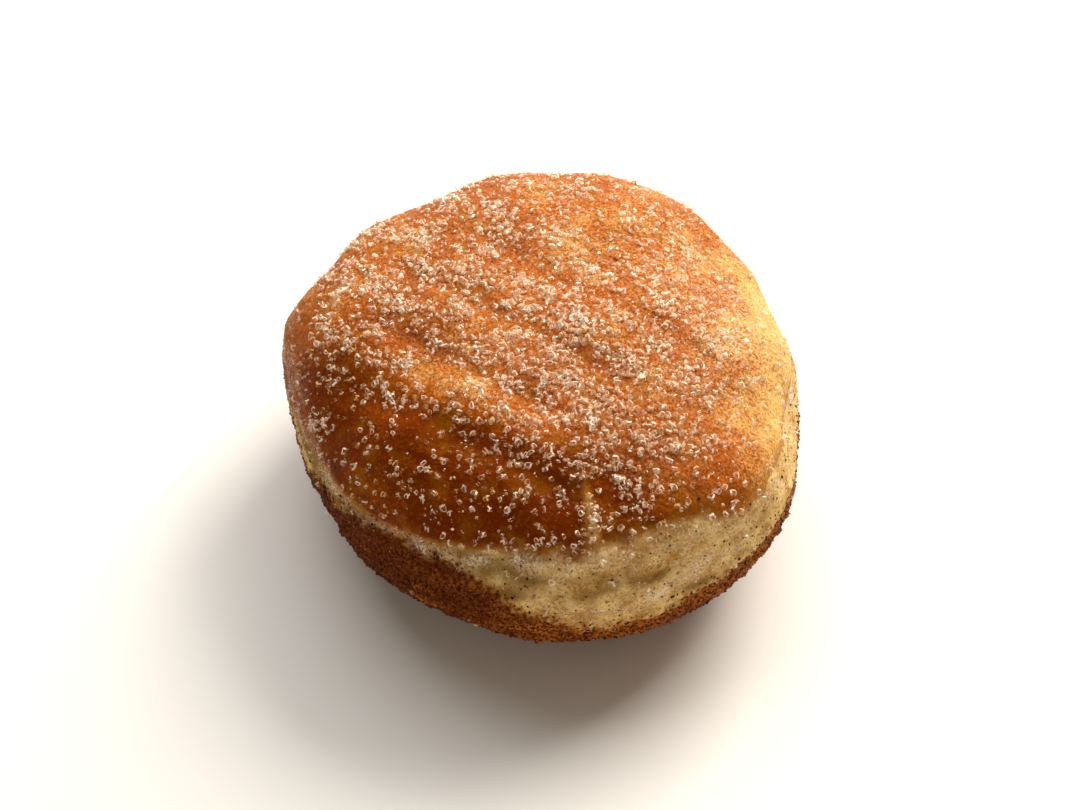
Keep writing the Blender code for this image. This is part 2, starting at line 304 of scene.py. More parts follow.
# ---- the dough -------------------------------------------------------------------------------------
@dataclass
class Dough:
    """The fried dough: a turned superellipse with a wavy outline, creases, swells and two crusts."""

    mean_radius: float = 43.7 * MM
    equator_height: float = 24.0 * MM
    dome_rise: float = 23.0 * MM
    underside_drop: float = 27.0 * MM
    fullness: float = 2.3

    crease_direction: float = math.radians(-35.0)
    crease_bow: float = 250.0 * MM
    crease_end_softness: float = 5.0 * MM
    crease_floor: Climb = Climb(33.0 * MM, 4.0 * MM)        # the creases fade out below this height

    dome_lip: float = 0.55 * MM
    base_lip: float = 0.30 * MM
    lip_softness: float = 1.1 * MM
    fold_depth: float = 0.45 * MM
    fold_width: float = 1.5 * MM
    fold_room: Climb = Climb(6.0 * MM, 4.0 * MM)            # how tall a belt is where the fold sets in

    blisters: int = 70
    blister_seed: int = 21
    blister_sizes: tuple[float, float] = (0.7 * MM, 2.2 * MM)
    blister_push: tuple[float, float] = (0.02 * MM, 0.10 * MM)
    blister_levels: tuple[float, float, float] = (1.0, 1.0, 0.6)    # fewer towards top and floor

    base_drop: float = 0.5 * MM         # how far below its lip the underside's colour sets in
    thin_rim: Stretch = Stretch(-42.0, 24.0, 1.8 * MM)      # where it sets in lower
    high_rim: Stretch = Stretch(-112.0, 17.0, 2.6 * MM)     # and where it sets in higher
    base_fade: float = 2.4 * MM
    low_side: Stretch = Stretch(178.0, 24.0, 7.5 * MM)      # the dome's colour runs down the belt here
    low_front: Stretch = Stretch(-83.0, 15.0, 1.2 * MM)     # and a little way here
    dome_fade: float = 2.0 * MM
    notch: float = -80.0                # where a pale streak of the belt runs up into the dome
    notch_spread: float = 1.3
    notch_rise: Hump = Hump(2.0 * MM, 3.4 * MM)
    notch_share: float = 0.85
    notch_foot: float = 0.9             # by what share the streak is wider at its foot
    foot_height: float = 1.5 * MM

    middle_brown: float = 0.50
    flank: Climb = Climb(24.0 * MM, 7.0 * MM)               # painted shade: towards the front left flank, which faces away from the key lamp, the dome is browner
    flank_shade: float = 0.41
    front_side: tuple[float, float, float] = (0.28, -0.96, 0.0)
    front: Climb = Climb(29.0 * MM, 8.0 * MM)               # and painted shade towards the front, somewhat less
    front_shade: float = 0.27
    right: tuple[Climb, ...] = (Climb(24.0 * MM, 14.0 * MM), Climb(36.0 * MM, 8.0 * MM))
    right_painted_light: float = 0.31            # painted light: how much each of these pales the dome to the right, which faces the key lamp
    beside: Hump = Hump(3.0 * MM, 20.0 * MM)                # which they do most behind the middle
    golden: Stretch = Stretch(-34.0, 17.0, 0.55)            # the dome is paler here, next to the belt
    golden_height: float = 4.6 * MM
    lit_patch_along: Hump = Hump(-4.0 * MM, 12.0 * MM)          # and, as painted light, in a patch between two creases on the shaded flank
    lit_patch_across: Hump = Hump(22.0 * MM, 7.0 * MM)
    patch_painted_light: float = 0.26
    crease_shade: float = 0.20       # painted shade: how much browner a crease is for each mm of its depth

    least_stain: float = 0.12
    shaded: Stretch = Stretch(-138.0, 37.0, 0.78)           # painted shade: where the belt and underside are browner, on the side away from the key lamp
    # painted shade along the belt's fold
    fold_shade: float = 0.08
    fold_shade_width: float = 0.7            # as a share of the fold's width
    fold_shade_wander: float = 4.0 * MM      # how far the fold's painted shade strays from the fold
    wander_stretch: float = 0.2
    stain_stretch: tuple[float, float, float] = (0.4, 0.4, 1.0)
    skin_stretch: float = 3.0           # how far the wrinkles are drawn out along the creases
    belt_stretch: tuple[float, float, float] = (0.25, 0.25, 1.0)

    cells: int = 128
    row_crowding: float = 0.7
    dusted: float = 0.22                # how much of the sugar's cover whitens the crust itself
    dust_shaded: float = 0.8            # and what share of that the sugar's painted shade takes away

    outline: tuple[OutlineWave, ...] = (
        OutlineWave(2, 1.73 * MM, -70.0),
        OutlineWave(3, 1.11 * MM, 60.0),
        OutlineWave(4, 0.65 * MM, -22.0),
        OutlineWave(5, 0.15 * MM, 25.0),
        OutlineWave(7, 0.28 * MM, 11.0),
    )
    creases: tuple[Crease, ...] = (
        Crease(offset=-5.0 * MM, start=-20.0 * MM, end=26.0 * MM, depth=0.45 * MM, width=2.2 * MM),
        Crease(offset=7.2 * MM, start=-27.0 * MM, end=20.0 * MM, depth=0.65 * MM, width=2.2 * MM),
        Crease(offset=18.2 * MM, start=-23.0 * MM, end=16.0 * MM, depth=0.65 * MM, width=2.2 * MM),
        Crease(offset=28.2 * MM, start=-22.0 * MM, end=24.0 * MM, depth=1.00 * MM, width=2.6 * MM),
    )
    swells: tuple[Swell, ...] = (
        Swell(168.0, 30.0 * MM, 6.0 * MM, 8.0 * MM, 1.40 * MM),
        Swell(152.0, 33.0 * MM, 6.0 * MM, 7.0 * MM, -0.90 * MM),
        Swell(-177.0, 21.0 * MM, 7.0 * MM, 6.0 * MM, -0.60 * MM),
        Swell(51.0, 36.0 * MM, 5.0 * MM, 5.0 * MM, 0.80 * MM),
        Swell(67.0, 36.0 * MM, 6.5 * MM, 5.0 * MM, -1.20 * MM),
        Swell(-21.0, 22.0 * MM, 8.0 * MM, 7.0 * MM, 0.90 * MM),
        Swell(-162.0, 20.0 * MM, 6.0 * MM, 5.0 * MM, 0.60 * MM),
        Swell(32.0, 40.0 * MM, 15.0 * MM, 2.0 * MM, -0.70 * MM),
        Swell(-133.0, 41.5 * MM, 2.2 * MM, 2.2 * MM, 0.90 * MM),
        Swell(-137.0, 36.5 * MM, 8.0 * MM, 4.0 * MM, -0.50 * MM),
        Swell(-80.0, 37.0 * MM, 1.4 * MM, 5.0 * MM, 0.45 * MM),
        Swell(-78.0, 30.6 * MM, 9.0 * MM, 1.5 * MM, -0.80 * MM),
        Swell(-76.0, 26.8 * MM, 10.0 * MM, 3.0 * MM, 0.70 * MM),
        Swell(-55.0, 33.0 * MM, 9.0 * MM, 2.4 * MM, 0.45 * MM),
        Swell(95.0, 28.0 * MM, 12.0 * MM, 2.5 * MM, 0.60 * MM),
        Swell(20.0, 27.0 * MM, 9.0 * MM, 2.5 * MM, 0.50 * MM),
    )
    dome_edge: CrustEdge = CrustEdge(
        33.0 * MM,
        (
            Stretch(-72.0, 35.0, 3.0 * MM),
            Stretch(-140.0, 28.0, -3.6 * MM),
            Stretch(60.0, 30.0, -1.8 * MM),
        ),
    )
    base_edge: CrustEdge = CrustEdge(
        22.3 * MM,
        (
            Stretch(-130.0, 17.0, 6.0 * MM),
            Stretch(-106.0, 13.0, 4.2 * MM),
            Stretch(-76.0, 13.0, -2.6 * MM),
            Stretch(-34.0, 12.0, 6.0 * MM),
            Stretch(60.0, 25.0, -2.0 * MM),
            Stretch(130.0, 30.0, 2.5 * MM),
        ),
    )

    lumps: Ripples = Ripples(seed=344, waves=14, lengths=(15.0 * MM, 32.0 * MM), depth=0.16 * MM)
    dimples: Ripples = Ripples(seed=31, waves=40, lengths=(3.5 * MM, 9.0 * MM), depth=0.008 * MM)
    skin: Ripples = Ripples(seed=32, waves=50, lengths=(1.5 * MM, 4.0 * MM), depth=0.010 * MM)
    stretch_lines: Ripples = Ripples(seed=33, waves=50, lengths=(1.3 * MM, 4.5 * MM), depth=0.014 * MM)
    base_grit: Ripples = Ripples(seed=34, waves=60, lengths=(1.3 * MM, 3.2 * MM), depth=0.026 * MM)
    edge_wander: Ripples = Ripples(seed=35, waves=24, lengths=(3.0 * MM, 14.0 * MM), depth=0.16 * MM)
    stains: Ripples = Ripples(seed=37, waves=24, lengths=(2.5 * MM, 9.0 * MM), depth=0.055)
    browning: Ripples = Ripples(seed=36, waves=24, lengths=(9.0 * MM, 34.0 * MM), depth=0.020)

    def outline_radius(self, azimuth: Array) -> Array:
        """Widest radius at each azimuth: the mean plus what each wave adds."""
        return sum((wave.at(azimuth) for wave in self.outline), self.mean_radius)

    def crease_frame(self, points: Array) -> tuple[Array, Array]:
        """Measures the points along and across the creases, which bow in arcs of one radius.

        Args:
            points: Places about the dough's axis, one row each.

        Returns:
            Distance along the creases, and distance across them towards the front left.
        """
        cosine, sine = math.cos(self.crease_direction), math.sin(self.crease_direction)
        along = points[:, 0] * cosine + points[:, 1] * sine
        aside = points[:, 0] * sine - points[:, 1] * cosine
        return along, aside + along**2 / (2.0 * self.crease_bow)

    def crease_relief(self, points: Array) -> Array:
        """Cuts the dome's creases: bell-shaped grooves along arcs that fade at both ends.

        Args:
            points: Places on the bare dough.

        Returns:
            How far each point is pushed out, which is 0 or less.
        """
        along, bowed = self.crease_frame(points)
        on_dome = self.crease_floor.at(points[:, 2])
        relief = np.zeros(len(points))
        for crease in self.creases:
            started = ramp((along - crease.start) / self.crease_end_softness)
            ended = ramp((crease.end - along) / self.crease_end_softness)
            groove = bell((bowed - crease.offset) / crease.width)
            relief -= crease.depth * groove * started * ended * on_dome
        return relief

    def swell_relief(self, points: Array, azimuth: Array) -> Array:
        """Raises the bumps and dents: a bell curve round the side times a bell curve up it.

        Args:
            points: Places on the bare dough.
            azimuth: Their azimuths.

        Returns:
            How far each point is pushed out.
        """
        around = np.hypot(points[:, 0], points[:, 1])
        relief = np.zeros(len(points))
        for swell in self.swells:
            sideways = np.radians(degrees_apart(azimuth, swell.azimuth)) * around
            upward = points[:, 2] - swell.height
            relief += swell.push * bell(sideways / swell.across) * bell(upward / swell.upright)
        return relief

    def belt_relief(self, points: Array, azimuth: Array) -> Array:
        """Shapes the two crust lips beside the pale belt, and the fold that runs between them.

        Args:
            points: Places on the bare dough.
            azimuth: Their azimuths.

        Returns:
            How far each point is pushed out.
        """
        dome_edge, base_edge = self.dome_edge.at(azimuth), self.base_edge.at(azimuth)
        height = points[:, 2]
        dome_lip = self.dome_lip * ramp((height - dome_edge) / self.lip_softness)
        base_lip = self.base_lip * ramp((base_edge - height) / self.lip_softness)
        tall = self.fold_room.at(dome_edge - base_edge)
        fold = bell((height - 0.5 * (dome_edge + base_edge)) / self.fold_width)
        return dome_lip + base_lip - self.fold_depth * tall * fold

    def zones(self, points: Array) -> tuple[Array, Array]:
        """Parts the crust into dome, belt and underside by colour.

        Each edge wanders a little off its smooth line, and fades over a few millimetres. On one side
        the dough lay lower in the fat, and the dome's colour runs down over most of the belt. In one
        narrow notch, wider at its foot, the belt runs up into the dome.

        Args:
            points: Places on the crust.

        Returns:
            How much the dome's colour shows at each point, and the underside's, from 0 to 1.
        """
        azimuth = azimuth_of(points)
        height = points[:, 2] + self.edge_wander.at(points)
        above = height - self.dome_edge.at(azimuth)
        foot = ramp((self.foot_height - above) / self.foot_height)
        opened = self.notch_spread * (1.0 + self.notch_foot * foot)
        notch = bell(degrees_apart(azimuth, self.notch) / opened)
        notch *= self.notch_share * self.notch_rise.at(above)
        lowered = self.low_side.at(azimuth) + self.low_front.at(azimuth)
        dome = ramp((above + lowered) / self.dome_fade) * (1.0 - notch)
        drop = self.base_drop + self.thin_rim.at(azimuth) - self.high_rim.at(azimuth)
        return dome, ramp((self.base_edge.at(azimuth) - height - drop) / self.base_fade)

    def belt(self, points: Array) -> Array:
        """How much of the pale belt shows at each point, from 0 to 1: what the two crusts leave."""
        dome, base = self.zones(points)
        return (1.0 - dome) * (1.0 - base)

    def brownness_and_shade(self, points: Array) -> Array:
        """Browns the dome, with painted shade on the front left flank and in the creases, less at the
        front.

        The back is paler, and painted light pales the right, most of all low on the right, and a patch
        between two creases on the shaded flank. A stretch next to the belt is paler too, and slow
        ripples cloud the whole.

        Args:
            points: Places on the crust.

        Returns:
            How brown each point is with its painted shade and light, from 0 to 1.
        """
        along, bowed = self.crease_frame(points)
        azimuth = azimuth_of(points)
        front = self.front.at(points @ np.array(self.front_side))
        # painted light: paler to the right, which faces the key lamp
        pale = self.beside.at(points[:, 1]) * sum(climb.at(points[:, 0]) for climb in self.right)
        golden = self.golden.at(azimuth)
        golden *= bell((points[:, 2] - self.dome_edge.at(azimuth)) / self.golden_height)
        # painted light: a paler patch between two creases on the shaded flank
        patch = self.lit_patch_along.at(along) * self.lit_patch_across.at(bowed)
        # painted shade: browner on the front left flank and towards the front, which face away from the
        # key lamp
        brown = self.middle_brown + self.flank_shade * self.flank.at(bowed) + self.front_shade * front
        brown -= self.right_painted_light * pale + golden + self.patch_painted_light * patch
        # painted shade in the creases
        brown -= self.crease_shade * self.crease_relief(points) / MM
        return np.clip(brown + self.browning.at(points), 0.0, 1.0)

    def shade_and_stain(self, points: Array) -> Array:
        """Darkens the belt and the underside: painted shade on their shaded side and along the belt's
        fold, and fat stains.

        The stains are ripples drawn out along the belt; the fold's painted shade is a bell curve across
        it, wandering with them.

        Args:
            points: Places on the crust.

        Returns:
            How shaded and stained each point is, from 0 to 1.
        """
        azimuth = azimuth_of(points)
        middle = 0.5 * (self.dome_edge.at(azimuth) + self.base_edge.at(azimuth))
        wander = self.fold_shade_wander * self.stains.at(points * self.wander_stretch)
        off_fold = points[:, 2] - middle - wander
        fold = bell(off_fold / (self.fold_shade_width * self.fold_width))
        # painted shade on the shaded side and along the fold, over the fat stains
        stain = self.least_stain + self.shaded.at(azimuth) + self.fold_shade * fold
        return np.clip(stain + self.stains.at(points * self.stain_stretch), 0.0, 1.0)

    def blister_relief(self, points: Array) -> Array:
        """Raises small blisters: low bell-shaped bumps at drawn places on the dome and the belt.

        Args:
            points: Places on the bare dough.

        Returns:
            How far each point is pushed out.
        """
        draw = np.random.default_rng(self.blister_seed)
        relief = np.zeros(len(points))
        spots = unit(draw.normal(size=(self.blisters, 3)) * self.blister_levels)
        places = self.bare(spots)[0]
        sizes = draw.uniform(*self.blister_sizes, size=self.blisters)
        pushes = draw.uniform(*self.blister_push, size=self.blisters)
        for place, size, push in zip(places, sizes, pushes):
            relief += push * bell(np.linalg.norm(points - place, axis=1) / size)
        return relief

    def fine_relief(self, points: Array) -> Array:
        """Adds what is too fine for the solid: skin wrinkles, stretch lines, grit and blisters.

        Args:
            points: Places on the bare dough.

        Returns:
            How far each point is pushed out.
        """
        along, bowed = self.crease_frame(points)
        dome, base = self.zones(points)
        wrinkled = np.stack([along / self.skin_stretch, bowed, points[:, 2]], axis=1)
        relief = self.dimples.at(points) + self.blister_relief(points)
        relief += dome * self.skin.at(wrinkled)
        relief += (1.0 - dome) * self.stretch_lines.at(points * self.belt_stretch)
        return relief + base * self.base_grit.at(points)

    def bare(self, directions: Array) -> tuple[Array, Array]:
        """Meets each direction from the middle with the turned superellipse.

        The reach is ((level / radius)^n + (rise / height)^n)^(-1/n), where level and rise are the
        direction's parts along and up from the floor, and the height differs above and below.

        Args:
            directions: Unit vectors from the middle of the dough's widest line.

        Returns:
            The points on the superellipse and its normals there.
        """
        azimuth = azimuth_of(directions)
        radius = self.outline_radius(azimuth)
        rise = np.where(directions[:, 2] > 0.0, self.dome_rise, self.underside_drop)
        across = np.hypot(directions[:, 0], directions[:, 1]) / radius
        upright = np.abs(directions[:, 2]) / rise
        reach = (across**self.fullness + upright**self.fullness) ** (-1.0 / self.fullness)
        points = directions * reach[:, None] + np.array([0.0, 0.0, self.equator_height])
        outward = across ** (self.fullness - 1.0) / radius
        upward = np.sign(directions[:, 2]) * upright ** (self.fullness - 1.0) / rise
        normals = np.stack([outward * np.cos(azimuth), outward * np.sin(azimuth), upward], axis=1)
        return points, unit(normals)

    def crust(self, directions: Array) -> tuple[Array, Array]:
        """Places each direction on the finished crust.

        The relief moves a point of the bare superellipse along its normal, and what would pass the
        floor is flattened onto it.

        Args:
            directions: Unit vectors from the middle of the dough's widest line.

        Returns:
            The points on the crust and the normals of the bare superellipse.
        """
        bare, normals = self.bare(directions)
        azimuth = azimuth_of(directions)
        relief = self.crease_relief(bare) + self.swell_relief(bare, azimuth)
        relief += self.belt_relief(bare, azimuth) + self.lumps.at(bare) + self.fine_relief(bare)
        points = bare + normals * relief[:, None]
        points[:, 2] = np.maximum(points[:, 2], 0.0)
        return points, normals

    def toward(self, points: Array) -> Array:
        """Unit directions from the middle of the widest line to the points."""
        return unit(points - np.array([0.0, 0.0, self.equator_height]))

    def spread(self, spacing: float, stray: float, draw: np.random.Generator) -> Array:
        """Directions to places spread evenly over the crust, about `spacing` apart.

        The golden angle turns each place on from the last, and its latitude is read from the
        area that the turned profile has below it, so every place gets the same share of crust.

        Args:
            spacing: Distance between neighbouring places.
            stray: How far a place strays from its own, as a share of the spacing.
            draw: Where the strays come from.

        Returns:
            Unit directions to the places.
        """
        latitude = np.linspace(-math.pi / 2.0, math.pi / 2.0, 721)
        profile = self.bare(np.stack([np.cos(latitude), 0.0 * latitude, np.sin(latitude)], axis=1))[0]
        profile[:, 2] = np.maximum(profile[:, 2], 0.0)
        radius = np.hypot(profile[:, 0], profile[:, 1])
        run = np.hypot(np.diff(radius), np.diff(profile[:, 2]))
        below = np.concatenate([[0.0], np.cumsum(math.pi * (radius[1:] + radius[:-1]) * run)])
        count = int(below[-1] / spacing**2)
        turn = np.arange(count)
        height = np.interp((turn + 0.5) / count * below[-1], below, latitude)
        angle = turn * GOLDEN_ANGLE
        level = np.cos(height)
        spots = np.stack([level * np.cos(angle), level * np.sin(angle), np.sin(height)], axis=1)
        strayed = draw.normal(scale=stray * spacing / self.mean_radius, size=spots.shape)
        return unit(spots + strayed)

    def build(self, sugar: SugarLie, material: bpy.types.Material) -> bpy.types.Object:
        """Makes the crust's mesh, with the attribute that its finish reads, in place of the solid.

        Args:
            sugar: Where the sugar lies that whitens it.
            material: The crust's finish.

        Returns:
            The new piece.
        """
        directions, faces = ball_grid(self.cells)
        directions = unit(directions * (1.0, 1.0, self.row_crowding))
        points, _ = self.crust(directions)
        piece = mesh_object("doughnut_crust", points, faces, smooth=True)
        dome, base = self.zones(points)
        # browning channel: on the dome its browning with painted shade and light, elsewhere the belt's
        # and underside's painted shade and stains
        browned = np.where(dome > 0.5, self.brownness_and_shade(points), self.shade_and_stain(points))
        # painted shade: the sugar whitens the crust less on the front left flank and front
        dusted = self.dusted * sugar.cover(points) * (1.0 - self.dust_shaded * sugar.painted_shade(points))
        zones = np.stack([dome, base, np.maximum(dusted, sugar.haze(points)), browned], axis=1)
        layer = piece.data.attributes.new(ZONES, "FLOAT_COLOR", "POINT")
        layer.data.foreach_set("color", zones.astype(np.float32).ravel())
        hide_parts(NODE)
        give_piece(piece, material)
        return piece


# ---- where the sugar lies --------------------------------------------------------------------------
@dataclass
class SugarLie:
    """How thickly sugar covers the crust: stripes between the creases, broken into patches."""

    dough: Dough
    bands: tuple[SugarBand, ...] = (
        SugarBand(offset=-24.0 * MM, width=6.0 * MM, share=0.20),
        SugarBand(offset=-11.0 * MM, width=4.3 * MM, share=0.50),
        SugarBand(offset=1.5 * MM, width=4.3 * MM, share=0.74),
        SugarBand(offset=13.0 * MM, width=4.0 * MM, share=0.74),
        SugarBand(offset=23.0 * MM, width=4.0 * MM, share=0.42),
    )
    patches: Ripples = Ripples(seed=41, waves=40, lengths=(2.6 * MM, 7.0 * MM), depth=0.14)
    flecks: Ripples = Ripples(seed=42, waves=40, lengths=(1.2 * MM, 2.6 * MM), depth=0.14)
    patch_stretch: float = 1.7
    on_dome: float = 0.15               # share of the crust covered, before it is broken into patches
    on_top: float = 0.08
    dome_from: Climb = Climb(-0.3 * MM, 2.2 * MM)       # where the cover sets in, from the dome's edge
    top_from: Climb = Climb(5.0 * MM, 4.0 * MM)         # and where the stripes do
    front: Stretch = Stretch(-66.0, 34.0, 0.26)         # the dome's low front gets more than its sides
    notch_spread: float = 2.0           # and so does the streak of belt that runs up into it
    notch_rise: Hump = Hump(1.5 * MM, 3.0 * MM)
    notch_share: float = 0.5
    thinned: Climb = Climb(30.0 * MM, 6.0 * MM)         # to the right the coarse sugar thins out
    thinned_share: float = 0.55
    gap_share: float = 0.24             # what is left of the cover between two patches
    patch_share: float = 1.36           # and what a patch adds to that

    hem_side: Stretch = Stretch(-118.0, 55.0)           # the dome's lip catches fine sugar, most here
    hem_drop: float = 2.4 * MM
    hem_width: float = 1.8 * MM
    low_hem_share: float = 0.7          # how much it catches on the dough's low side
    low_hem_width: float = 2.5 * MM     # and how much further the hem reaches there
    shelf_side: Stretch = Stretch(-66.0, 17.0, 0.95)    # more lies on the belt's lower swell
    shelf_rise: Hump = Hump(3.8 * MM, 1.7 * MM)         # this far above the underside's crust
    hem_fullness: float = 0.4           # how few gaps the hem has
    hem_fineness: float = 1.3           # how much smaller its patches are

    shade_from: Climb = Climb(22.0 * MM, 8.0 * MM)       # painted shade on the sugar, towards the front left flank
    shade_front: float = 0.7             # and to the front, by this share
    haze_from: Climb = Climb(26.0 * MM, 15.0 * MM)      # to the right the fine sugar thickens
    haze_share: float = 0.60
    crown_from: Climb = Climb(39.0 * MM, 5.0 * MM)      # and on the crown, up from this height
    crown_end: Climb = Climb(20.0 * MM, -5.0 * MM)      # and back from this far to the front left
    crown_share: float = 0.22

    def cover(self, points: Array) -> Array:
        """Share of the crust that coarse sugar covers.

        The stripes are bell curves across the creases. Two sets of ripples break them into flecks
        and into patches drawn out along the creases, and the cover fades over the dome's edge.

        Args:
            points: Places on the crust.

        Returns:
            The share at each point, from 0 to 1.
        """
        azimuth = azimuth_of(points)
        above = points[:, 2] - self.dough.dome_edge.at(azimuth)
        along, bowed = self.dough.crease_frame(points)
        banded = sum(band.share * bell((bowed - band.offset) / band.width) for band in self.bands)
        notch = bell(degrees_apart(azimuth, self.dough.notch) / self.notch_spread)
        notch *= self.notch_share * self.notch_rise.at(above)
        top = self.top_from.at(above) * (self.on_top + banded)
        share = self.dome_from.at(above) * (self.on_dome + self.front.at(azimuth) + notch + top)
        share *= 1.0 - self.thinned_share * self.thinned.at(points[:, 0])
        drawn_out = np.stack([along / self.patch_stretch, bowed, points[:, 2]], axis=1)
        broken = ramp(self.patches.at(drawn_out) + self.flecks.at(points))
        return np.clip(share * (self.gap_share + self.patch_share * broken), 0.0, 1.0)

    def painted_shade(self, points: Array) -> Array:
        """How much painted shade darkens the sugar at each point, from 0 to 1: most on the front left
        flank.
        """
        front = self.shade_from.at(points @ np.array(self.dough.front_side))
        return np.maximum(self.shade_from.at(self.dough.crease_frame(points)[1]), self.shade_front * front)

    def haze(self, points: Array) -> Array:
        """Share of the crust under fine sugar: the hem, the dome's right side and its crown.

        Args:
            points: Places on the crust.

        Returns:
            The share at each point, from 0 to 1.
        """
        dome, _ = self.dough.zones(points)
        _, bowed = self.dough.crease_frame(points)
        right = self.haze_from.at(points[:, 0]) * self.dough.beside.at(points[:, 1])
        crown = self.crown_from.at(points[:, 2]) * self.crown_end.at(bowed)
        hazed = self.hem(points) + self.haze_share * right * dome + self.crown_share * crown
        return np.clip(hazed, 0.0, 1.0)

    def hem(self, points: Array) -> Array:
        """Share of fine sugar caught under the dome's lip, and on the shelf of the belt's lower swell.

        The hem is a bell curve below the lip, thickest at the front left and widest on the low side,
        and it thins out round the back. Patches break both.

        Args:
            points: Places on the crust.

        Returns:
            The share at each point.
        """
        azimuth = azimuth_of(points)
        low_side = self.dough.low_side._replace(amount=1.0).at(azimuth)
        below = self.dough.dome_edge.at(azimuth) - points[:, 2]
        caught = bell((below - self.hem_drop) / (self.hem_width + self.low_hem_width * low_side))
        caught *= np.maximum(self.hem_side.at(azimuth), self.low_hem_share * low_side)
        above = points[:, 2] - self.dough.base_edge.at(azimuth)
        shelf = self.shelf_side.at(azimuth) * self.shelf_rise.at(above)
        broken = ramp(self.hem_fullness + self.patches.at(points * self.hem_fineness))
        return (caught + shelf) * broken * (1.0 - self.dough.zones(points)[1])


# ---- grains ----------------------------------------------------------------------------------------
class Grain(NamedTuple):
    """One loose grain of about unit size."""

    corners: Array                  # places of the mesh corners
    triangles: Array                # corner numbers, anticlockwise from outside
    knuckles: Array                 # for each mesh corner, which of the grain's own corners it rounds
    facets: Array                   # for each triangle, which flat or bevel it belongs to
    bevels: Array                   # for each facet, whether it is a bevel


def facing_out(corners: Array, triangles: Array) -> Array:
    """Winds the triangles of a shape that bulges everywhere.

    Args:
        corners: Places of the corners, round a middle at 0.
        triangles: Corner numbers, wound either way.

    Returns:
        The triangles, each wound anticlockwise from outside.
    """
    a, b, c = (corners[triangles[:, i]] for i in range(3))
    inward = np.einsum("ij,ij->i", np.cross(b - a, c - a), a + b + c) < 0.0
    return np.where(inward[:, None], triangles[:, ::-1], triangles)


def bevelled_block(bevel: float) -> Grain:
    """A cube with its edges and corners planed off: 6 flats, 12 edge bevels and 8 corner bevels.

    Each of the cube's corners becomes three: the one for an axis stays at half a unit along that axis
    and moves in by the bevel along the other two. A flat joins four of one axis, an edge bevel two
    pairs of two axes, and a corner bevel the three of one corner.

    Args:
        bevel: How much is planed off, as a share of the cube's side.

    Returns:
        The grain.
    """
    signs = np.array([[x, y, z] for x in (-1, 1) for y in (-1, 1) for z in (-1, 1)])
    corners = (signs[:, None] * (0.5 - bevel * (1.0 - np.eye(3)))).reshape(-1, 3)
    flats, edges, tips = [], [], [[[3 * n, 3 * n + 1, 3 * n + 2]] for n in range(8)]
    for axis in range(3):
        other, third = (axis + 1) % 3, (axis + 2) % 3
        for sign in (-1, 1):
            ring = np.flatnonzero(signs[:, axis] == sign)
            ring = ring[np.lexsort((signs[ring, third], signs[ring, other]))]
            a, b, c, d = 3 * ring + axis
            flats.append([[a, b, d], [a, d, c]])
            for level in (-1, 1):
                pair = np.flatnonzero((signs[:, axis] == sign) & (signs[:, other] == level))
                a, b = 3 * pair + axis
                c, d = 3 * pair + other
                edges.append([[a, b, d], [a, d, c]])
    groups = [*flats, *edges, *tips]
    triangles = np.array([triangle for group in groups for triangle in group])
    facets = np.repeat(np.arange(len(groups)), [len(group) for group in groups])
    bevels = np.arange(len(groups)) >= len(flats)
    return Grain(corners, facing_out(corners, triangles), np.arange(24) // 3, facets, bevels)


def ringed(sides: int, radii: tuple[float, ...], heights: tuple[float, ...]) -> Grain:
    """A grain made of rings round its long axis.

    Corner (i, j) stands at the angle of side i, at the radius and height of ring j. The rings are
    joined by pairs of triangles, and each end is closed by a fan. Of four rings or more, the first
    and the last wall are bevels.

    Args:
        sides: Corners on each ring.
        radii: The rings' radii, from one end to the other.
        heights: Their places along the axis.

    Returns:
        The grain.
    """
    angle = (np.arange(sides) + 0.5) * math.tau / sides
    radius, height = np.array(radii)[:, None], np.array(heights)[:, None]
    ring = (radius * np.cos(angle), radius * np.sin(angle), height + 0.0 * angle)
    corners = np.stack(ring, axis=-1).reshape(-1, 3)
    number = np.arange(len(radii) * sides).reshape(len(radii), sides)
    onward = np.roll(number, -1, axis=1)
    low, high = number[:-1].ravel(), number[1:].ravel()
    low_next, high_next = onward[:-1].ravel(), onward[1:].ravel()
    walls = np.stack([low, low_next, high_next, low, high_next, high], axis=1).reshape(-1, 3)
    fan = np.arange(1, sides - 1)
    floor = np.stack([0 * fan, fan + 1, fan], axis=1)
    top = np.stack([0 * fan, fan, fan + 1], axis=1) + number[-1, 0]
    facets = np.concatenate([np.arange(len(low)).repeat(2), len(low) + 0 * fan, len(low) + 1 + 0 * fan])
    triangles = facing_out(corners, np.concatenate([walls, floor, top]))
    bevels = np.zeros(len(low) + 2, bool)
    if len(radii) > 3:
        bevels[:sides] = bevels[-sides - 2 : -2] = True
    return Grain(corners, triangles, np.arange(len(corners)), facets, bevels)


class Cut(Enum):
    """Shapes of a loose grain: the function that makes each, and what it is given."""

    CRYSTAL = (bevelled_block, 0.25)
    BLOCK = (ringed, 4, (0.50, 0.68, 0.68, 0.46), (-0.50, -0.36, 0.34, 0.50))
    CHIP = (ringed, 3, (0.62, 0.38), (-0.45, 0.45))
    CRUMB = (ringed, 4, (0.42, 0.66, 0.36), (-0.48, 0.04, 0.48))

    def grain(self) -> Grain:
        """Makes one grain of this cut."""
        make, *sizes = self.value
        return make(*sizes)


def turned(angle: Array, axis: int) -> Array:
    """Makes rotations about one axis.

    Args:
        angle: Angles in radians.
        axis: The axis they turn about: 0, 1 or 2.

    Returns:
        One rotation matrix for each angle.
    """
    turns = np.zeros((len(angle), 3, 3))
    first, second = (axis + 1) % 3, (axis + 2) % 3
    turns[:, axis, axis] = 1.0
    turns[:, first, first] = turns[:, second, second] = np.cos(angle)
    turns[:, first, second], turns[:, second, first] = -np.sin(angle), np.sin(angle)
    return turns


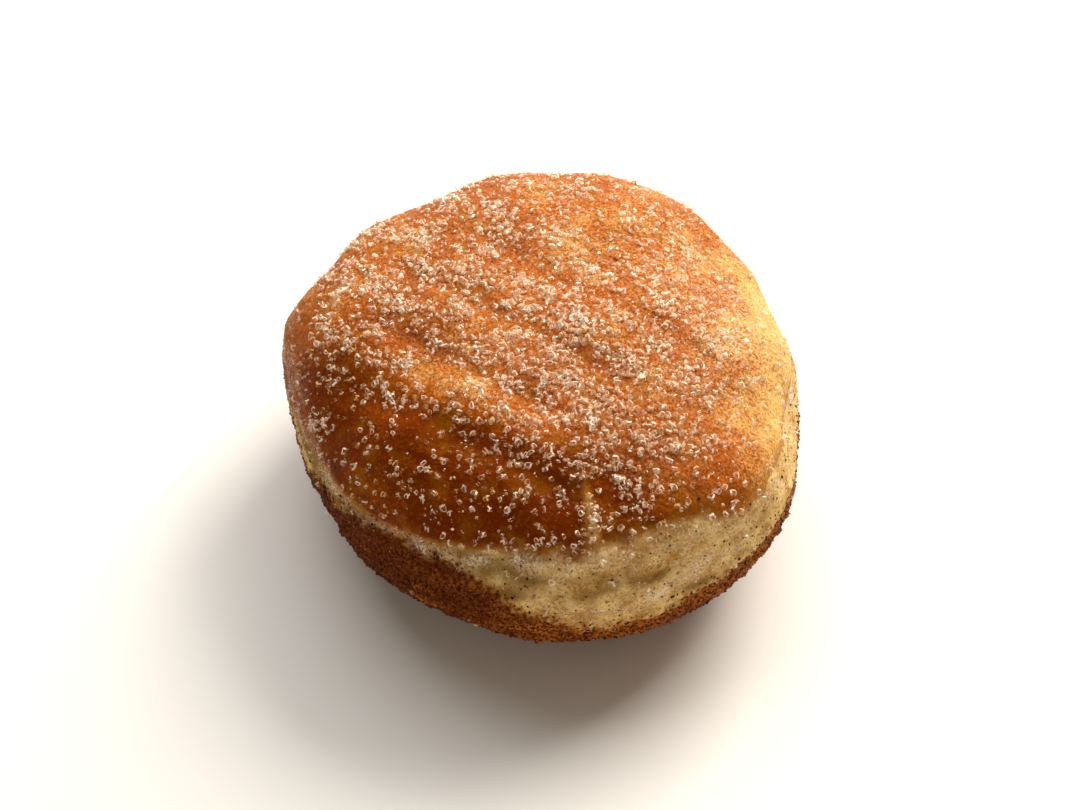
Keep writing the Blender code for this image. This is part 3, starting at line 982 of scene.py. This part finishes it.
@dataclass
class GrainCoat:
    """Loose grains of one kind, lying on the crust and joined into one mesh."""

    dough: Dough
    sugar: SugarLie
    name: str = "grains"
    slot: str = "sugar"
    cut: Cut = Cut.BLOCK
    seed: int = 1
    spacing: float = 1.0 * MM           # between the places that a grain could take
    stray: float = 0.5                  # how far a grain strays from its place, as a share of spacing
    sizes: tuple[float, float] = (0.5 * MM, 1.0 * MM)
    size_lean: tuple[float, float] = (1.6, 2.2)     # beta curve of the sizes between the limits
    slimness: tuple[float, float] = (0.6, 1.0)      # width as a share of length
    lean: float = 0.35                  # spread in radians of how far a grain tips from lying flat
    lift: tuple[float, float] = (0.05, 0.35)        # middle above the crust, as a share of depth
    roughness: float = 0.10             # spread of each corner off its place, as a share of size
    cloudy: float = 0.08                # share of the flats that are cloudy
    clear_cover: tuple[float, float] = (0.02, 0.18)
    cloudy_cover: tuple[float, float] = (0.16, 1.0)
    tones: tuple[float, float] = (0.0, 1.0)         # from colourless to stained by the crust
    shade_tone: float = 0.18             # painted shade: how far it moves a grain's tone on the front left flank and front
    shade_clears: float = 0.50           # and by what share clearer its flats are
    bevel_clears: float = 0.3           # and how much of that clears its bevels
    on_cover: float = 0.0               # share of the places taken where the coarse sugar lies
    on_dome: float = 0.0                # and elsewhere
    on_belt: float = 0.0
    on_base: float = 0.0
    on_hem: float = 0.0
    on_haze: float = 0.0
    most: int = 10000

    def share(self, points: Array) -> Array:
        """Share of the places that hold a grain: the sum of what each ground holds.

        Args:
            points: Places on the crust.

        Returns:
            The share at each point.
        """
        dome, base = self.dough.zones(points)
        share = self.on_cover * self.sugar.cover(points) + self.on_dome * dome
        share += self.on_belt * self.dough.belt(points) + self.on_base * base
        return share + self.on_hem * self.sugar.hem(points) + self.on_haze * self.sugar.haze(points)

    def places(self, draw: np.random.Generator) -> tuple[Array, Array]:
        """Where the grains sit: even places, thinned by a draw to the share that hold one.

        Args:
            draw: Where the draws come from.

        Returns:
            The points on the crust and the normals there.
        """
        points, normals = self.dough.crust(self.dough.spread(self.spacing, self.stray, draw))
        kept = draw.uniform(size=len(points)) < self.share(points)
        return points[kept], normals[kept]

    def frames(self, normals: Array, draw: np.random.Generator) -> Array:
        """Lays each grain's long axis along the crust, spun and tipped.

        Args:
            normals: The crust's normal under each grain.
            draw: Where the draws come from.

        Returns:
            One rotation matrix for each grain.
        """
        side = unit(np.cross(normals, ASKEW))
        upright = np.stack([normals, side, np.cross(normals, side)], axis=2)
        count = len(normals)
        spin = turned(draw.uniform(0.0, math.tau, count), 0)
        tip = turned(draw.normal(0.0, self.lean, count), 1)
        roll = turned(draw.uniform(0.0, math.tau, count), 2)
        return upright @ spin @ tip @ roll

    def covers(self, bevels: Array, painted_shade: Array, draw: np.random.Generator) -> Array:
        """How much each facet of each grain hides what lies behind it, from 0 to 1.

        Bevels are bright and cloudy. A flat is clear, or cloudy where a draw makes it so, and painted
        shade makes it clearer, and its bevels a little, so that the dark crust shows through.

        Args:
            bevels: For each facet of a grain, whether it is a bevel.
            painted_shade: How much painted shade darkens each grain, from 0 to 1.
            draw: Where the draws come from.

        Returns:
            One share for each grain and facet.
        """
        cloudy = bevels | (draw.uniform(size=(len(painted_shade), len(bevels))) < self.cloudy)
        clear = draw.uniform(*self.clear_cover, size=cloudy.shape)
        shares = np.where(cloudy, draw.uniform(*self.cloudy_cover, size=cloudy.shape), clear)
        cleared = self.shade_clears * np.where(bevels, self.bevel_clears, 1.0)
        return shares * (1.0 - cleared * painted_shade[:, None])

    def build(self, material: bpy.types.Material) -> bpy.types.Object:
        """Makes every grain at once, as whole arrays of corners, and joins them into one mesh.

        Args:
            material: The grains' finish.

        Returns:
            The new piece.
        """
        draw = np.random.default_rng(self.seed)
        places, normals = self.places(draw)
        count = min(len(places), self.most)
        chosen = draw.permutation(len(places))[:count]
        places, normals = places[chosen], normals[chosen]
        grain = self.cut.grain()
        length = self.sizes[0] + (self.sizes[1] - self.sizes[0]) * draw.beta(*self.size_lean, size=count)
        width = length * draw.uniform(*self.slimness, size=count)
        depth = width * draw.uniform(*self.slimness, size=count) ** 0.5
        grown = np.repeat(grain.corners[None], count, axis=0)
        knocked = draw.normal(scale=self.roughness, size=(count, grain.knuckles.max() + 1, 3))
        grown = (grown + knocked[:, grain.knuckles]) * np.stack([width, depth, length], axis=1)[:, None]
        lifted = normals * (depth * draw.uniform(*self.lift, size=count))[:, None]
        turns = self.frames(normals, draw)
        points = np.einsum("nij,nvj->nvi", turns, grown) + (places + lifted)[:, None]
        points[..., 2] = np.maximum(points[..., 2], 0.0)
        offsets = np.arange(count) * len(grain.corners)
        faces = grain.triangles[None] + offsets[:, None, None]
        piece = mesh_object(self.name, points.reshape(-1, 3), faces.reshape(-1, 3), smooth=False)
        # painted shade: grains on the front left flank and front take a darker tone and clearer facets
        painted_shade = self.sugar.painted_shade(places)
        tones = draw.uniform(*self.tones, size=count) + self.shade_tone * painted_shade
        tones = np.repeat(np.clip(tones, 0.0, 1.0), len(grain.triangles))
        covers = self.covers(grain.bevels, painted_shade, draw)[:, grain.facets].ravel()
        for name, values in ((TONE, tones), (COVER, covers)):
            layer = piece.data.attributes.new(name, "FLOAT", "FACE")
            layer.data.foreach_set("value", values.astype(np.float32))
        LOG.info("%s: %d grains", self.name, count)
        give_piece(piece, material)
        return piece


@dataclass
class CoarseSugar(GrainCoat):
    """The grains that show one by one: granulated crystals, alone and in small heaps."""

    name: str = "sugar_coarse"
    cut: Cut = Cut.CRYSTAL
    seed: int = 51
    spacing: float = 0.98 * MM
    stray: float = 0.26
    sizes: tuple[float, float] = (0.62 * MM, 1.22 * MM)
    size_lean: tuple[float, float] = (2.0, 2.0)
    slimness: tuple[float, float] = (0.68, 1.0)
    lean: float = 0.28
    roughness: float = 0.09
    on_cover: float = 1.0
    on_belt: float = 0.045
    on_base: float = 0.003
    on_hem: float = 0.12
    most: int = 4500
    heaps: int = 60
    heap_size: int = 6
    heap_spread: float = 0.85 * MM
    heap_lift: float = 0.30 * MM

    def places(self, draw: np.random.Generator) -> tuple[Array, Array]:
        """Single grains, then heaps: drawn round a middle, with the inner grains lifted.

        Args:
            draw: Where the draws come from.

        Returns:
            The points on the crust and the normals there, the heaps first.
        """
        points, normals = super().places(draw)
        weight = self.sugar.cover(points) ** 2
        chosen = draw.choice(len(points), self.heaps, replace=False, p=weight / weight.sum())
        middles = np.repeat(points[chosen], self.heap_size, axis=0)
        stray = draw.normal(scale=self.heap_spread, size=middles.shape)
        heaped, facing = self.dough.crust(self.dough.toward(middles + stray))
        height = self.heap_lift * bell(np.linalg.norm(heaped - middles, axis=1) / self.heap_spread)
        heaped = heaped + facing * (height * draw.uniform(size=len(height)))[:, None]
        return np.concatenate([heaped, points]), np.concatenate([facing, normals])


@dataclass
class FineSugar(GrainCoat):
    """Smaller crystals between the coarse ones, reaching further over the sides."""

    name: str = "sugar_fine"
    cut: Cut = Cut.BLOCK
    seed: int = 52
    spacing: float = 0.62 * MM
    sizes: tuple[float, float] = (0.32 * MM, 0.66 * MM)
    cloudy: float = 0.22
    on_cover: float = 0.34
    on_dome: float = 0.05
    on_belt: float = 0.10
    on_hem: float = 0.60
    most: int = 7100


@dataclass
class SugarDust(GrainCoat):
    """The finest sugar, which gives the crust its grainy glitter in a low light."""

    name: str = "sugar_dust"
    cut: Cut = Cut.CHIP
    cloudy: float = 0.6
    seed: int = 53
    spacing: float = 0.45 * MM
    sizes: tuple[float, float] = (0.16 * MM, 0.34 * MM)
    tones: tuple[float, float] = (0.60, 1.0)
    on_cover: float = 0.14
    on_dome: float = 0.015
    on_belt: float = 0.22
    on_base: float = 0.02
    on_haze: float = 0.9
    most: int = 24500


@dataclass
class BaseCrumbs(GrainCoat):
    """Toasted crumbs and caramelised sugar that crust the browned underside."""

    name: str = "base_crumbs"
    slot: str = "crumb"
    cut: Cut = Cut.CRUMB
    # painted shade: crumbs on the front left flank and front take a darker tone
    shade_tone: float = -0.20
    tones: tuple[float, float] = (0.12, 1.0)
    seed: int = 54
    spacing: float = 0.74 * MM
    sizes: tuple[float, float] = (0.20 * MM, 0.52 * MM)
    lift: tuple[float, float] = (-0.1, 0.25)
    roughness: float = 0.09
    on_belt: float = 0.07
    on_base: float = 0.12
    most: int = 9900
    side_share: float = 0.75            # how much more the underside holds up its side
    side_from: Climb = Climb(3.0 * MM, 3.0 * MM)
    strewn_share: float = 0.22          # and how much the belt does next to it
    strewn_from: Climb = Climb(1.4 * MM, -3.0 * MM)

    def share(self, points: Array) -> Array:
        """Adds the side of the underside's crust, and crumbs that thin out over the belt's edge.

        Args:
            points: Places on the crust.

        Returns:
            The share at each point.
        """
        _, base = self.dough.zones(points)
        side = self.side_share * self.side_from.at(points[:, 2])
        above = points[:, 2] - self.dough.base_edge.at(azimuth_of(points))
        strewn = self.strewn_share * self.strewn_from.at(above)
        return super().share(points) + base * side + (1.0 - base) * strewn


@dataclass
class BurntSpecks(GrainCoat):
    """Burnt specks out of the frying fat, stuck to the belt and a few to the dome."""

    name: str = "burnt_specks"
    slot: str = "speck"
    cut: Cut = Cut.CRUMB
    shade_tone: float = 0.0
    seed: int = 55
    spacing: float = 1.1 * MM
    sizes: tuple[float, float] = (0.14 * MM, 0.55 * MM)
    size_lean: tuple[float, float] = (1.2, 3.5)
    lift: tuple[float, float] = (-0.05, 0.15)
    on_dome: float = 0.006
    on_belt: float = 0.025
    on_base: float = 0.04
    most: int = 2500
    swarms: Ripples = Ripples(seed=56, waves=30, lengths=(3.0 * MM, 12.0 * MM), depth=0.22)
    swarm_from: Climb = Climb(0.3, 1.0)
    swarm_share: float = 0.13           # how much more the belt holds in a swarm

    def share(self, points: Array) -> Array:
        """Adds loose swarms on the belt to the sum."""
        swarmed = self.swarm_share * self.swarm_from.at(self.swarms.at(points))
        return super().share(points) + swarmed * self.dough.belt(points)


# ---- finishes --------------------------------------------------------------------------------------
class Spread(NamedTuple):
    """A pattern, carried smoothly from the range low..high to the range least..most."""

    pattern: bpy.types.NodeSocket
    low: float
    high: float
    least: float = 0.0
    most: float = 1.0


class Veil(NamedTuple):
    """A colour that lies over others, and the share of it that shows."""

    colour: Any
    share: Any
    blend: str = "MIX"


class Cloud(NamedTuple):
    """Cloud-like noise, with patches of about one size."""

    size_mm: float
    detail: float = 2.0
    roughness: float = 0.5

    def inputs(self, place: bpy.types.NodeSocket) -> dict[str, Any]:
        """What the noise node's inputs hold."""
        scale = 1.0 / (self.size_mm * MM)
        return {"Vector": place, "Scale": scale, "Detail": self.detail, "Roughness": self.roughness}


def add(
    tree: bpy.types.NodeTree, kind: str, inputs: dict[Any, Any] | None = None, **settings: Any
) -> bpy.types.Node:
    """Adds one node, with its settings and what its inputs hold.

    Args:
        tree: The material's nodes.
        kind: The node's type.
        inputs: For each input, by name or number, a value, a hex colour, a spread pattern, or another
            node's output to link.
        settings: The node's own properties.

    Returns:
        The new node.
    """
    node = tree.nodes.new(kind)
    for name, value in settings.items():
        setattr(node, name, value)
    for name, value in (inputs or {}).items():
        if isinstance(value, Spread):
            held = dict(enumerate(value))
            value = add(tree, "ShaderNodeMapRange", held, interpolation_type="SMOOTHSTEP").outputs[0]
        if isinstance(value, bpy.types.NodeSocket):
            tree.links.new(value, node.inputs[name])
        else:
            node.inputs[name].default_value = linear(value) if isinstance(value, str) else value
    return node


def layered(tree: bpy.types.NodeTree, ground: Any, *veils: Veil) -> bpy.types.NodeSocket:
    """Lays veils of colour over a ground, one after the other.

    Args:
        tree: The material's nodes.
        ground: The colour underneath.
        veils: What lies over it, the lowest first.

    Returns:
        The colour that the eye gets.
    """
    for veil in veils:
        inputs = {"Factor": veil.share, 6: ground, 7: veil.colour}
        ground = add(tree, "ShaderNodeMix", inputs, data_type="RGBA", blend_type=veil.blend).outputs[2]
    return ground


@dataclass(frozen=True)
class Finish:
    """A material: its name and the nodes that a kind of surface needs."""

    name: str = "finish"

    def surface(self, tree: bpy.types.NodeTree, place: bpy.types.NodeSocket) -> dict[str, Any]:
        """What the shader's inputs hold: values, hex colours and patterns."""
        raise NotImplementedError

    def make(self) -> bpy.types.Material:
        """Makes the material: one principled shader that reads the finish's patterns.

        Returns:
            The new material.
        """
        material = bpy.data.materials.new(self.name)
        material.use_nodes = True
        tree = material.node_tree
        tree.nodes.clear()
        place = add(tree, "ShaderNodeTexCoord").outputs["Object"]
        shader = add(tree, "ShaderNodeBsdfPrincipled", self.surface(tree, place))
        add(tree, "ShaderNodeOutputMaterial", {"Surface": shader.outputs[0]})
        return material


@dataclass(frozen=True)
class FriedCrust(Finish):
    """Fried yeast dough: thin browned skin, brushed with frying fat, over a pale bread crumb.

    Frying browns the dough where it lies in the fat, so the dome and the underside are brown and the
    belt that floated above it stays pale. To the eye that gives a deep, soft-edged colour change, a
    mottled brown with small dark pores, and the half-wet gloss of fat.
    """

    name: str = "fried_yeast_dough"
    dome_light: str = "#EDB968"
    dome_mid: str = "#AC560E"
    dome_dark: str = "#702A00"
    dome_gold: str = "#A2660C"          # fat-soaked patches between the red-brown ones
    belt_light: str = "#F6D28A"
    belt_mid: str = "#BC8A42"
    belt_dark: str = "#96682A"
    # painted shade on the belt's shaded side and fold, mixed with its fat stains
    belt_stain_and_shade: str = "#7C5C24"
    belt_flour: str = "#F0DCB4"
    amber: str = "#A2641A"
    base_light: str = "#C4702A"
    base_dark: str = "#400E01"
    sugar_film: str = "#F4DDBA"
    fat: str = "#F0A860"                # warm cast of the reflections in the fat
    mottle: Cloud = Cloud(3.6, 4.0, 0.55)       # browner and paler patches of the skin
    soak: Cloud = Cloud(5.0, 3.0, 0.55)         # where more fat has soaked in
    pore: Cloud = Cloud(0.9, 3.0, 0.6)          # open pores and pin blisters
    grit: Cloud = Cloud(0.45, 3.0, 0.6)         # the skin's fine grain
    grit_bump: tuple[float, float] = (0.55, 0.12)           # strength, and depth in mm
    pore_bump: tuple[float, float] = (0.6, 0.30)
    index: float = 1.09                 # the crumb under the fat is mostly air, so it reflects little
    glow: float = 0.10                  # light that soaks into the crumb and comes out warmer
    glow_reach: tuple[float, float, float] = (1.0, 0.45, 0.20)
    glow_mm: float = 1.2

    def surface(self, tree: bpy.types.NodeTree, place: bpy.types.NodeSocket) -> dict[str, Any]:
        """Colours by zone, mottled and pored, with the painted shade and light of the browning channel,
        a fine bump and patchy gloss.

        Args:
            tree: The material's nodes.
            place: Where each point lies on the piece.

        Returns:
            What the shader's inputs hold.
        """
        zones = add(tree, "ShaderNodeAttribute", attribute_name=ZONES)
        dome, base, sugar = add(tree, "ShaderNodeSeparateColor", {0: zones.outputs["Color"]}).outputs
        # browning channel: painted shade on the dome's front left flank, front and creases, painted
        # light on its right, and painted shade and fat stains on the belt and underside
        brown = zones.outputs["Alpha"]
        clouds = (self.mottle, self.soak, self.pore, self.grit)
        noises = (add(tree, "ShaderNodeTexNoise", cloud.inputs(place)) for cloud in clouds)
        mottle, soak, pores, grit = (noise.outputs["Fac"] for noise in noises)

        clouded = brown
        for mottling in (Spread(mottle, 0.3, 0.7, 0.09, -0.09), Spread(grit, 0.3, 0.7, 0.07, -0.07)):
            clouded = add(tree, "ShaderNodeMath", {0: clouded, 1: mottling}, operation="ADD").outputs[0]
        skin = layered(
            tree,
            self.dome_light,
            Veil(self.dome_mid, Spread(clouded, 0.0, 0.5)),
            Veil(self.dome_dark, Spread(clouded, 0.45, 0.95)),
            Veil(self.dome_gold, Spread(soak, 0.45, 0.70, 0.0, 0.38)),
            Veil(Spread(grit, 0.3, 0.7, 0.72, 1.24), Spread(clouded, 0.3, 0.9, 1.0, 0.4), "MULTIPLY"),
        )
        belt = layered(
            tree,
            self.belt_mid,
            Veil(self.belt_light, Spread(mottle, 0.32, 0.68)),
            Veil(self.belt_flour, Spread(grit, 0.5, 0.70, 0.0, 0.62)),
            # painted shade and fat stains on the belt
            Veil(self.belt_stain_and_shade, Spread(brown, 0.25, 0.85, 0.0, 0.90)),
            Veil(self.belt_dark, Spread(grit, 0.32, 0.46, 0.65, 0.0)),
            Veil(self.belt_dark, Spread(pores, 0.52, 0.75, 0.0, 0.7)),
        )
        # the underside's lightness: grit and mottle, and painted shade on its shaded side from the
        # browning channel
        lit = 1.0
        for share in (
            Spread(grit, 0.38, 0.64),
            Spread(mottle, 0.35, 0.65, 0.6, 1.15),
            Spread(brown, 0.05, 0.75, 1.0, 0.30),
        ):
            lit = add(tree, "ShaderNodeMath", {0: lit, 1: share}, operation="MULTIPLY").outputs[0]
        underside = layered(tree, self.base_dark, Veil(self.base_light, lit))

        edge = {0: dome, 1: Spread(pores, 0.3, 0.7, -0.16, 0.16)}
        edge = add(tree, "ShaderNodeMath", edge, operation="ADD").outputs[0]
        ragged = {0: base, 1: Spread(pores, 0.3, 0.7, -0.40, 0.40)}
        ragged = add(tree, "ShaderNodeMath", ragged, operation="ADD").outputs[0]
        film = sugar
        for share in (Spread(dome, 0.0, 1.0, 0.90, 0.32), Spread(grit, 0.38, 0.60)):
            film = add(tree, "ShaderNodeMath", {0: film, 1: share}, operation="MULTIPLY").outputs[0]
        colour = layered(
            tree,
            belt,
            Veil(self.amber, Spread(edge, 0.05, 0.55)),
            Veil(skin, Spread(edge, 0.35, 0.95)),
            Veil(self.amber, Spread(ragged, 0.1, 0.7, 0.0, 0.7)),
            Veil(underside, Spread(ragged, 0.4, 0.8)),
            Veil(self.dome_dark, Spread(pores, 0.60, 0.74, 0.0, 0.45), "MULTIPLY"),
            Veil(self.sugar_film, film),
        )

        gloss = {0: Spread(mottle, 0.35, 0.65, 0.38, 0.54), 1: Spread(dome, 0.0, 1.0, 0.16, 0.0)}
        bump = {}
        for (strength, depth), height in ((self.grit_bump, grit), (self.pore_bump, pores)):
            bump.update({"Strength": strength, "Distance": depth * MM, "Height": height})
            bump["Normal"] = add(tree, "ShaderNodeBump", bump).outputs[0]
        return {
            "Base Color": colour,
            "Roughness": add(tree, "ShaderNodeMath", gloss, operation="ADD").outputs[0],
            "Normal": bump["Normal"],
            "IOR": self.index,
            "Subsurface Weight": self.glow,
            "Subsurface Radius": self.glow_reach,
            "Subsurface Scale": self.glow_mm * MM,
            "Specular Tint": self.fat,
        }


@dataclass(frozen=True)
class SugarCrystal(Finish):
    """Granulated sugar, crushed from clear crystals.

    Flat faces and a high index give the eye single bright glints at the edges, while the middle of
    a grain lets the brown of the crust through. Flaws and dust make part of it milky.
    """

    name: str = "granulated_sugar"
    clear: str = "#FFE9D0"
    milky: str = "#FFE3BE"
    syrup: str = "#DCA262"              # grains stained by fat and the crust, and grains darkened as painted shade on the front left flank
    roughness: float = 0.16
    index: float = 1.54
    flaw: Cloud = Cloud(0.35, 1.0)

    def surface(self, tree: bpy.types.NodeTree, place: bpy.types.NodeSocket) -> dict[str, Any]:
        """A clear, slightly milky body, its tone differing from grain to grain, darker as painted shade
        on the shaded flank.

        Args:
            tree: The material's nodes.
            place: Where each point lies on the piece.

        Returns:
            What the shader's inputs hold.
        """
        tone = add(tree, "ShaderNodeAttribute", attribute_name=TONE).outputs["Fac"]
        cover = add(tree, "ShaderNodeAttribute", attribute_name=COVER).outputs["Fac"]
        behind = add(tree, "ShaderNodeNewGeometry").outputs["Backfacing"]
        flaws = add(tree, "ShaderNodeTexNoise", self.flaw.inputs(place)).outputs["Fac"]
        veils = (Veil(self.syrup, Spread(tone, 0.66, 1.0)), Veil(self.milky, Spread(flaws, 0.45, 0.70)))
        shown = {0: cover, 1: Spread(behind, 0.0, 1.0, 1.0, 0.0)}
        return {
            "Base Color": layered(tree, self.clear, *veils),
            "Roughness": Spread(flaws, 0.35, 0.65, self.roughness * 0.6, self.roughness * 1.8),
            "IOR": self.index,
            "Alpha": add(tree, "ShaderNodeMath", shown, operation="MULTIPLY").outputs[0],
        }


@dataclass(frozen=True)
class ToastedCrumb(Finish):
    """Crumbs and sugar caramelised in hot fat: brittle, amber to nearly black, half glossy."""

    name: str = "caramelised_crumb"
    light: str = "#E8AC58"
    mid: str = "#80390A"
    dark: str = "#3A0F02"
    index: float = 1.2
    grain: Cloud = Cloud(0.5)

    def surface(self, tree: bpy.types.NodeTree, place: bpy.types.NodeSocket) -> dict[str, Any]:
        """From dark to amber by each crumb's tone, mottled finely.

        Args:
            tree: The material's nodes.
            place: Where each point lies on the piece.

        Returns:
            What the shader's inputs hold.
        """
        tone = add(tree, "ShaderNodeAttribute", attribute_name=TONE).outputs["Fac"]
        grain = add(tree, "ShaderNodeTexNoise", self.grain.inputs(place)).outputs["Fac"]
        veils = (
            Veil(self.mid, Spread(tone, 0.0, 0.6)),
            Veil(self.light, Spread(tone, 0.66, 1.0)),
            Veil(self.dark, Spread(grain, 0.4, 0.7, 0.0, 0.5)),
        )
        return {
            "Base Color": layered(tree, self.dark, *veils),
            "Roughness": Spread(grain, 0.3, 0.7, 0.40, 0.70),
            "IOR": self.index,
        }


@dataclass(frozen=True)
class BurntSpeck(Finish):
    """Carbonised flour from the fat: nearly black and dull, with a brown cast where it is thin."""

    name: str = "burnt_flour"
    dark: str = "#1E0E06"
    brown: str = "#5A3012"

    def surface(self, tree: bpy.types.NodeTree, place: bpy.types.NodeSocket) -> dict[str, Any]:
        """Black to brown by each speck's tone.

        Args:
            tree: The material's nodes.
            place: Not used.

        Returns:
            What the shader's inputs hold.
        """
        tone = add(tree, "ShaderNodeAttribute", attribute_name=TONE).outputs["Fac"]
        colour = layered(tree, self.dark, Veil(self.brown, Spread(tone, 0.4, 1.0)))
        return {"Base Color": colour, "Roughness": Spread(tone, 0.0, 1.0, 0.5, 0.8)}


@dataclass(frozen=True)
class StudioPaper(Finish):
    """Matt white backdrop paper: even, with a very faint mottle and no gloss to the eye."""

    name: str = "backdrop_paper"
    light: str = "#FAFAF8"
    shade: str = "#F4F4F2"
    mottle: Cloud = Cloud(60.0)
    roughness: float = 0.9
    sheen: float = 0.2

    def surface(self, tree: bpy.types.NodeTree, place: bpy.types.NodeSocket) -> dict[str, Any]:
        """Two near whites, faintly clouded.

        Args:
            tree: The material's nodes.
            place: Where each point lies on the piece.

        Returns:
            What the shader's inputs hold.
        """
        cloud = add(tree, "ShaderNodeTexNoise", self.mottle.inputs(place)).outputs["Fac"]
        colour = layered(tree, self.light, Veil(self.shade, cloud))
        return {"Base Color": colour, "Roughness": self.roughness, "Specular IOR Level": self.sheen}


# ---- the studio ------------------------------------------------------------------------------------
@dataclass
class SoftLight:
    """A large square lamp, aimed at the doughnut from a side and a height."""

    name: str
    azimuth: float
    elevation: float
    distance: float
    width: float
    power: float
    colour: str

    def build(self, aim: Vector) -> None:
        """Adds the lamp and turns it to face a place.

        Args:
            aim: The place.
        """
        lamp = bpy.data.lights.new(self.name, "AREA")
        lamp.size, lamp.energy, lamp.color = self.width, self.power, linear(self.colour)[:3]
        around, up = math.radians(self.azimuth), math.radians(self.elevation)
        level = math.cos(up)
        away = Vector((level * math.cos(around), level * math.sin(around), math.sin(up)))
        made = bpy.data.objects.new(self.name, lamp)
        made.location = aim + away * self.distance
        made.rotation_euler = away.to_track_quat("Z", "Y").to_euler()
        bpy.context.scene.collection.objects.link(made)


@dataclass
class Studio:
    """Floor, lamps, sky and camera."""

    middle: tuple[float, float, float] = (1.2 * MM, 0.4 * MM, 23.5 * MM)
    lamps: tuple[SoftLight, ...] = (
        SoftLight("key", 50.0, 42.0, 0.95, 0.55, 12.5, "#FFF6EA"),
        SoftLight("overhead", 110.0, 58.0, 1.1, 1.0, 8.0, "#FFFCFA"),
        SoftLight("fill", -120.0, 35.0, 1.3, 1.0, 1.2, "#FFE6C8"),
    )
    sky: str = "#F6EAD6"
    sky_strength: float = 0.22
    floor_half: float = 1.6
    floor_cells: int = 24

    camera_elevation: float = 49.0
    camera_distance: float = 0.38
    lens_mm: float = 75.2
    sensor_mm: float = 36.0
    clip: tuple[float, float] = (0.02, 20.0)
    aim_left: float = 1.13 * MM         # how far the camera's aim stands left of the middle
    aim_below: float = 1.92 * MM

    def build_floor(self) -> None:
        """A flat square grid of faces, facing up, level with the doughnut's underside."""
        steps = np.linspace(-self.floor_half, self.floor_half, self.floor_cells + 1)
        across, deep = np.meshgrid(steps, steps, indexing="ij")
        points = np.stack([across, deep, 0.0 * across], axis=-1).reshape(-1, 3)
        number = np.arange(len(points)).reshape(self.floor_cells + 1, self.floor_cells + 1)
        corners = (number[:-1, :-1], number[1:, :-1], number[1:, 1:], number[:-1, 1:])
        faces = np.stack(corners, axis=-1).reshape(-1, 4)
        floor = mesh_object("floor", points, faces, smooth=False)
        floor.data.materials.append(StudioPaper().make())

    def build_light(self) -> None:
        """The lamps, and a dim even sky for the shadows."""
        for lamp in self.lamps:
            lamp.build(Vector(self.middle))
        world = bpy.data.worlds.new("sky")
        world.use_nodes = True
        backdrop = world.node_tree.nodes["Background"]
        backdrop.inputs["Color"].default_value = linear(self.sky)
        backdrop.inputs["Strength"].default_value = self.sky_strength
        bpy.context.scene.world = world
        bpy.context.scene.view_settings.view_transform = "Standard"

    def build_camera(self) -> None:
        """The camera looks down on the front from its elevation, aimed a little off the middle."""
        up = math.radians(self.camera_elevation)
        forward = Vector((0.0, math.cos(up), -math.sin(up)))
        upward = Vector((0.0, math.sin(up), math.cos(up)))
        middle = Vector(self.middle)
        aim = middle - Vector((self.aim_left, 0.0, 0.0)) - upward * self.aim_below
        lens = bpy.data.cameras.new("camera")
        lens.lens, lens.sensor_width = self.lens_mm, self.sensor_mm
        lens.clip_start, lens.clip_end = self.clip
        camera = bpy.data.objects.new("camera", lens)
        camera.location = middle - forward * self.camera_distance
        camera.rotation_euler = (aim - camera.location).to_track_quat("-Z", "Y").to_euler()
        bpy.context.scene.collection.objects.link(camera)
        bpy.context.scene.camera = camera


def main() -> None:
    """Builds every piece in order."""
    logging.basicConfig(level=logging.INFO, format="%(message)s")
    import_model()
    studio = Studio()
    studio.build_camera()
    studio.build_floor()
    studio.build_light()

    dough = Dough()
    sugar = SugarLie(dough)
    dough.build(sugar, FriedCrust().make())
    granulated = SugarCrystal().make()
    CoarseSugar(dough, sugar).build(granulated)
    FineSugar(dough, sugar).build(granulated)
    SugarDust(dough, sugar).build(granulated)
    BaseCrumbs(dough, sugar).build(ToastedCrumb().make())
    BurntSpecks(dough, sugar).build(BurntSpeck().make())


if __name__ == "__main__":
    main()
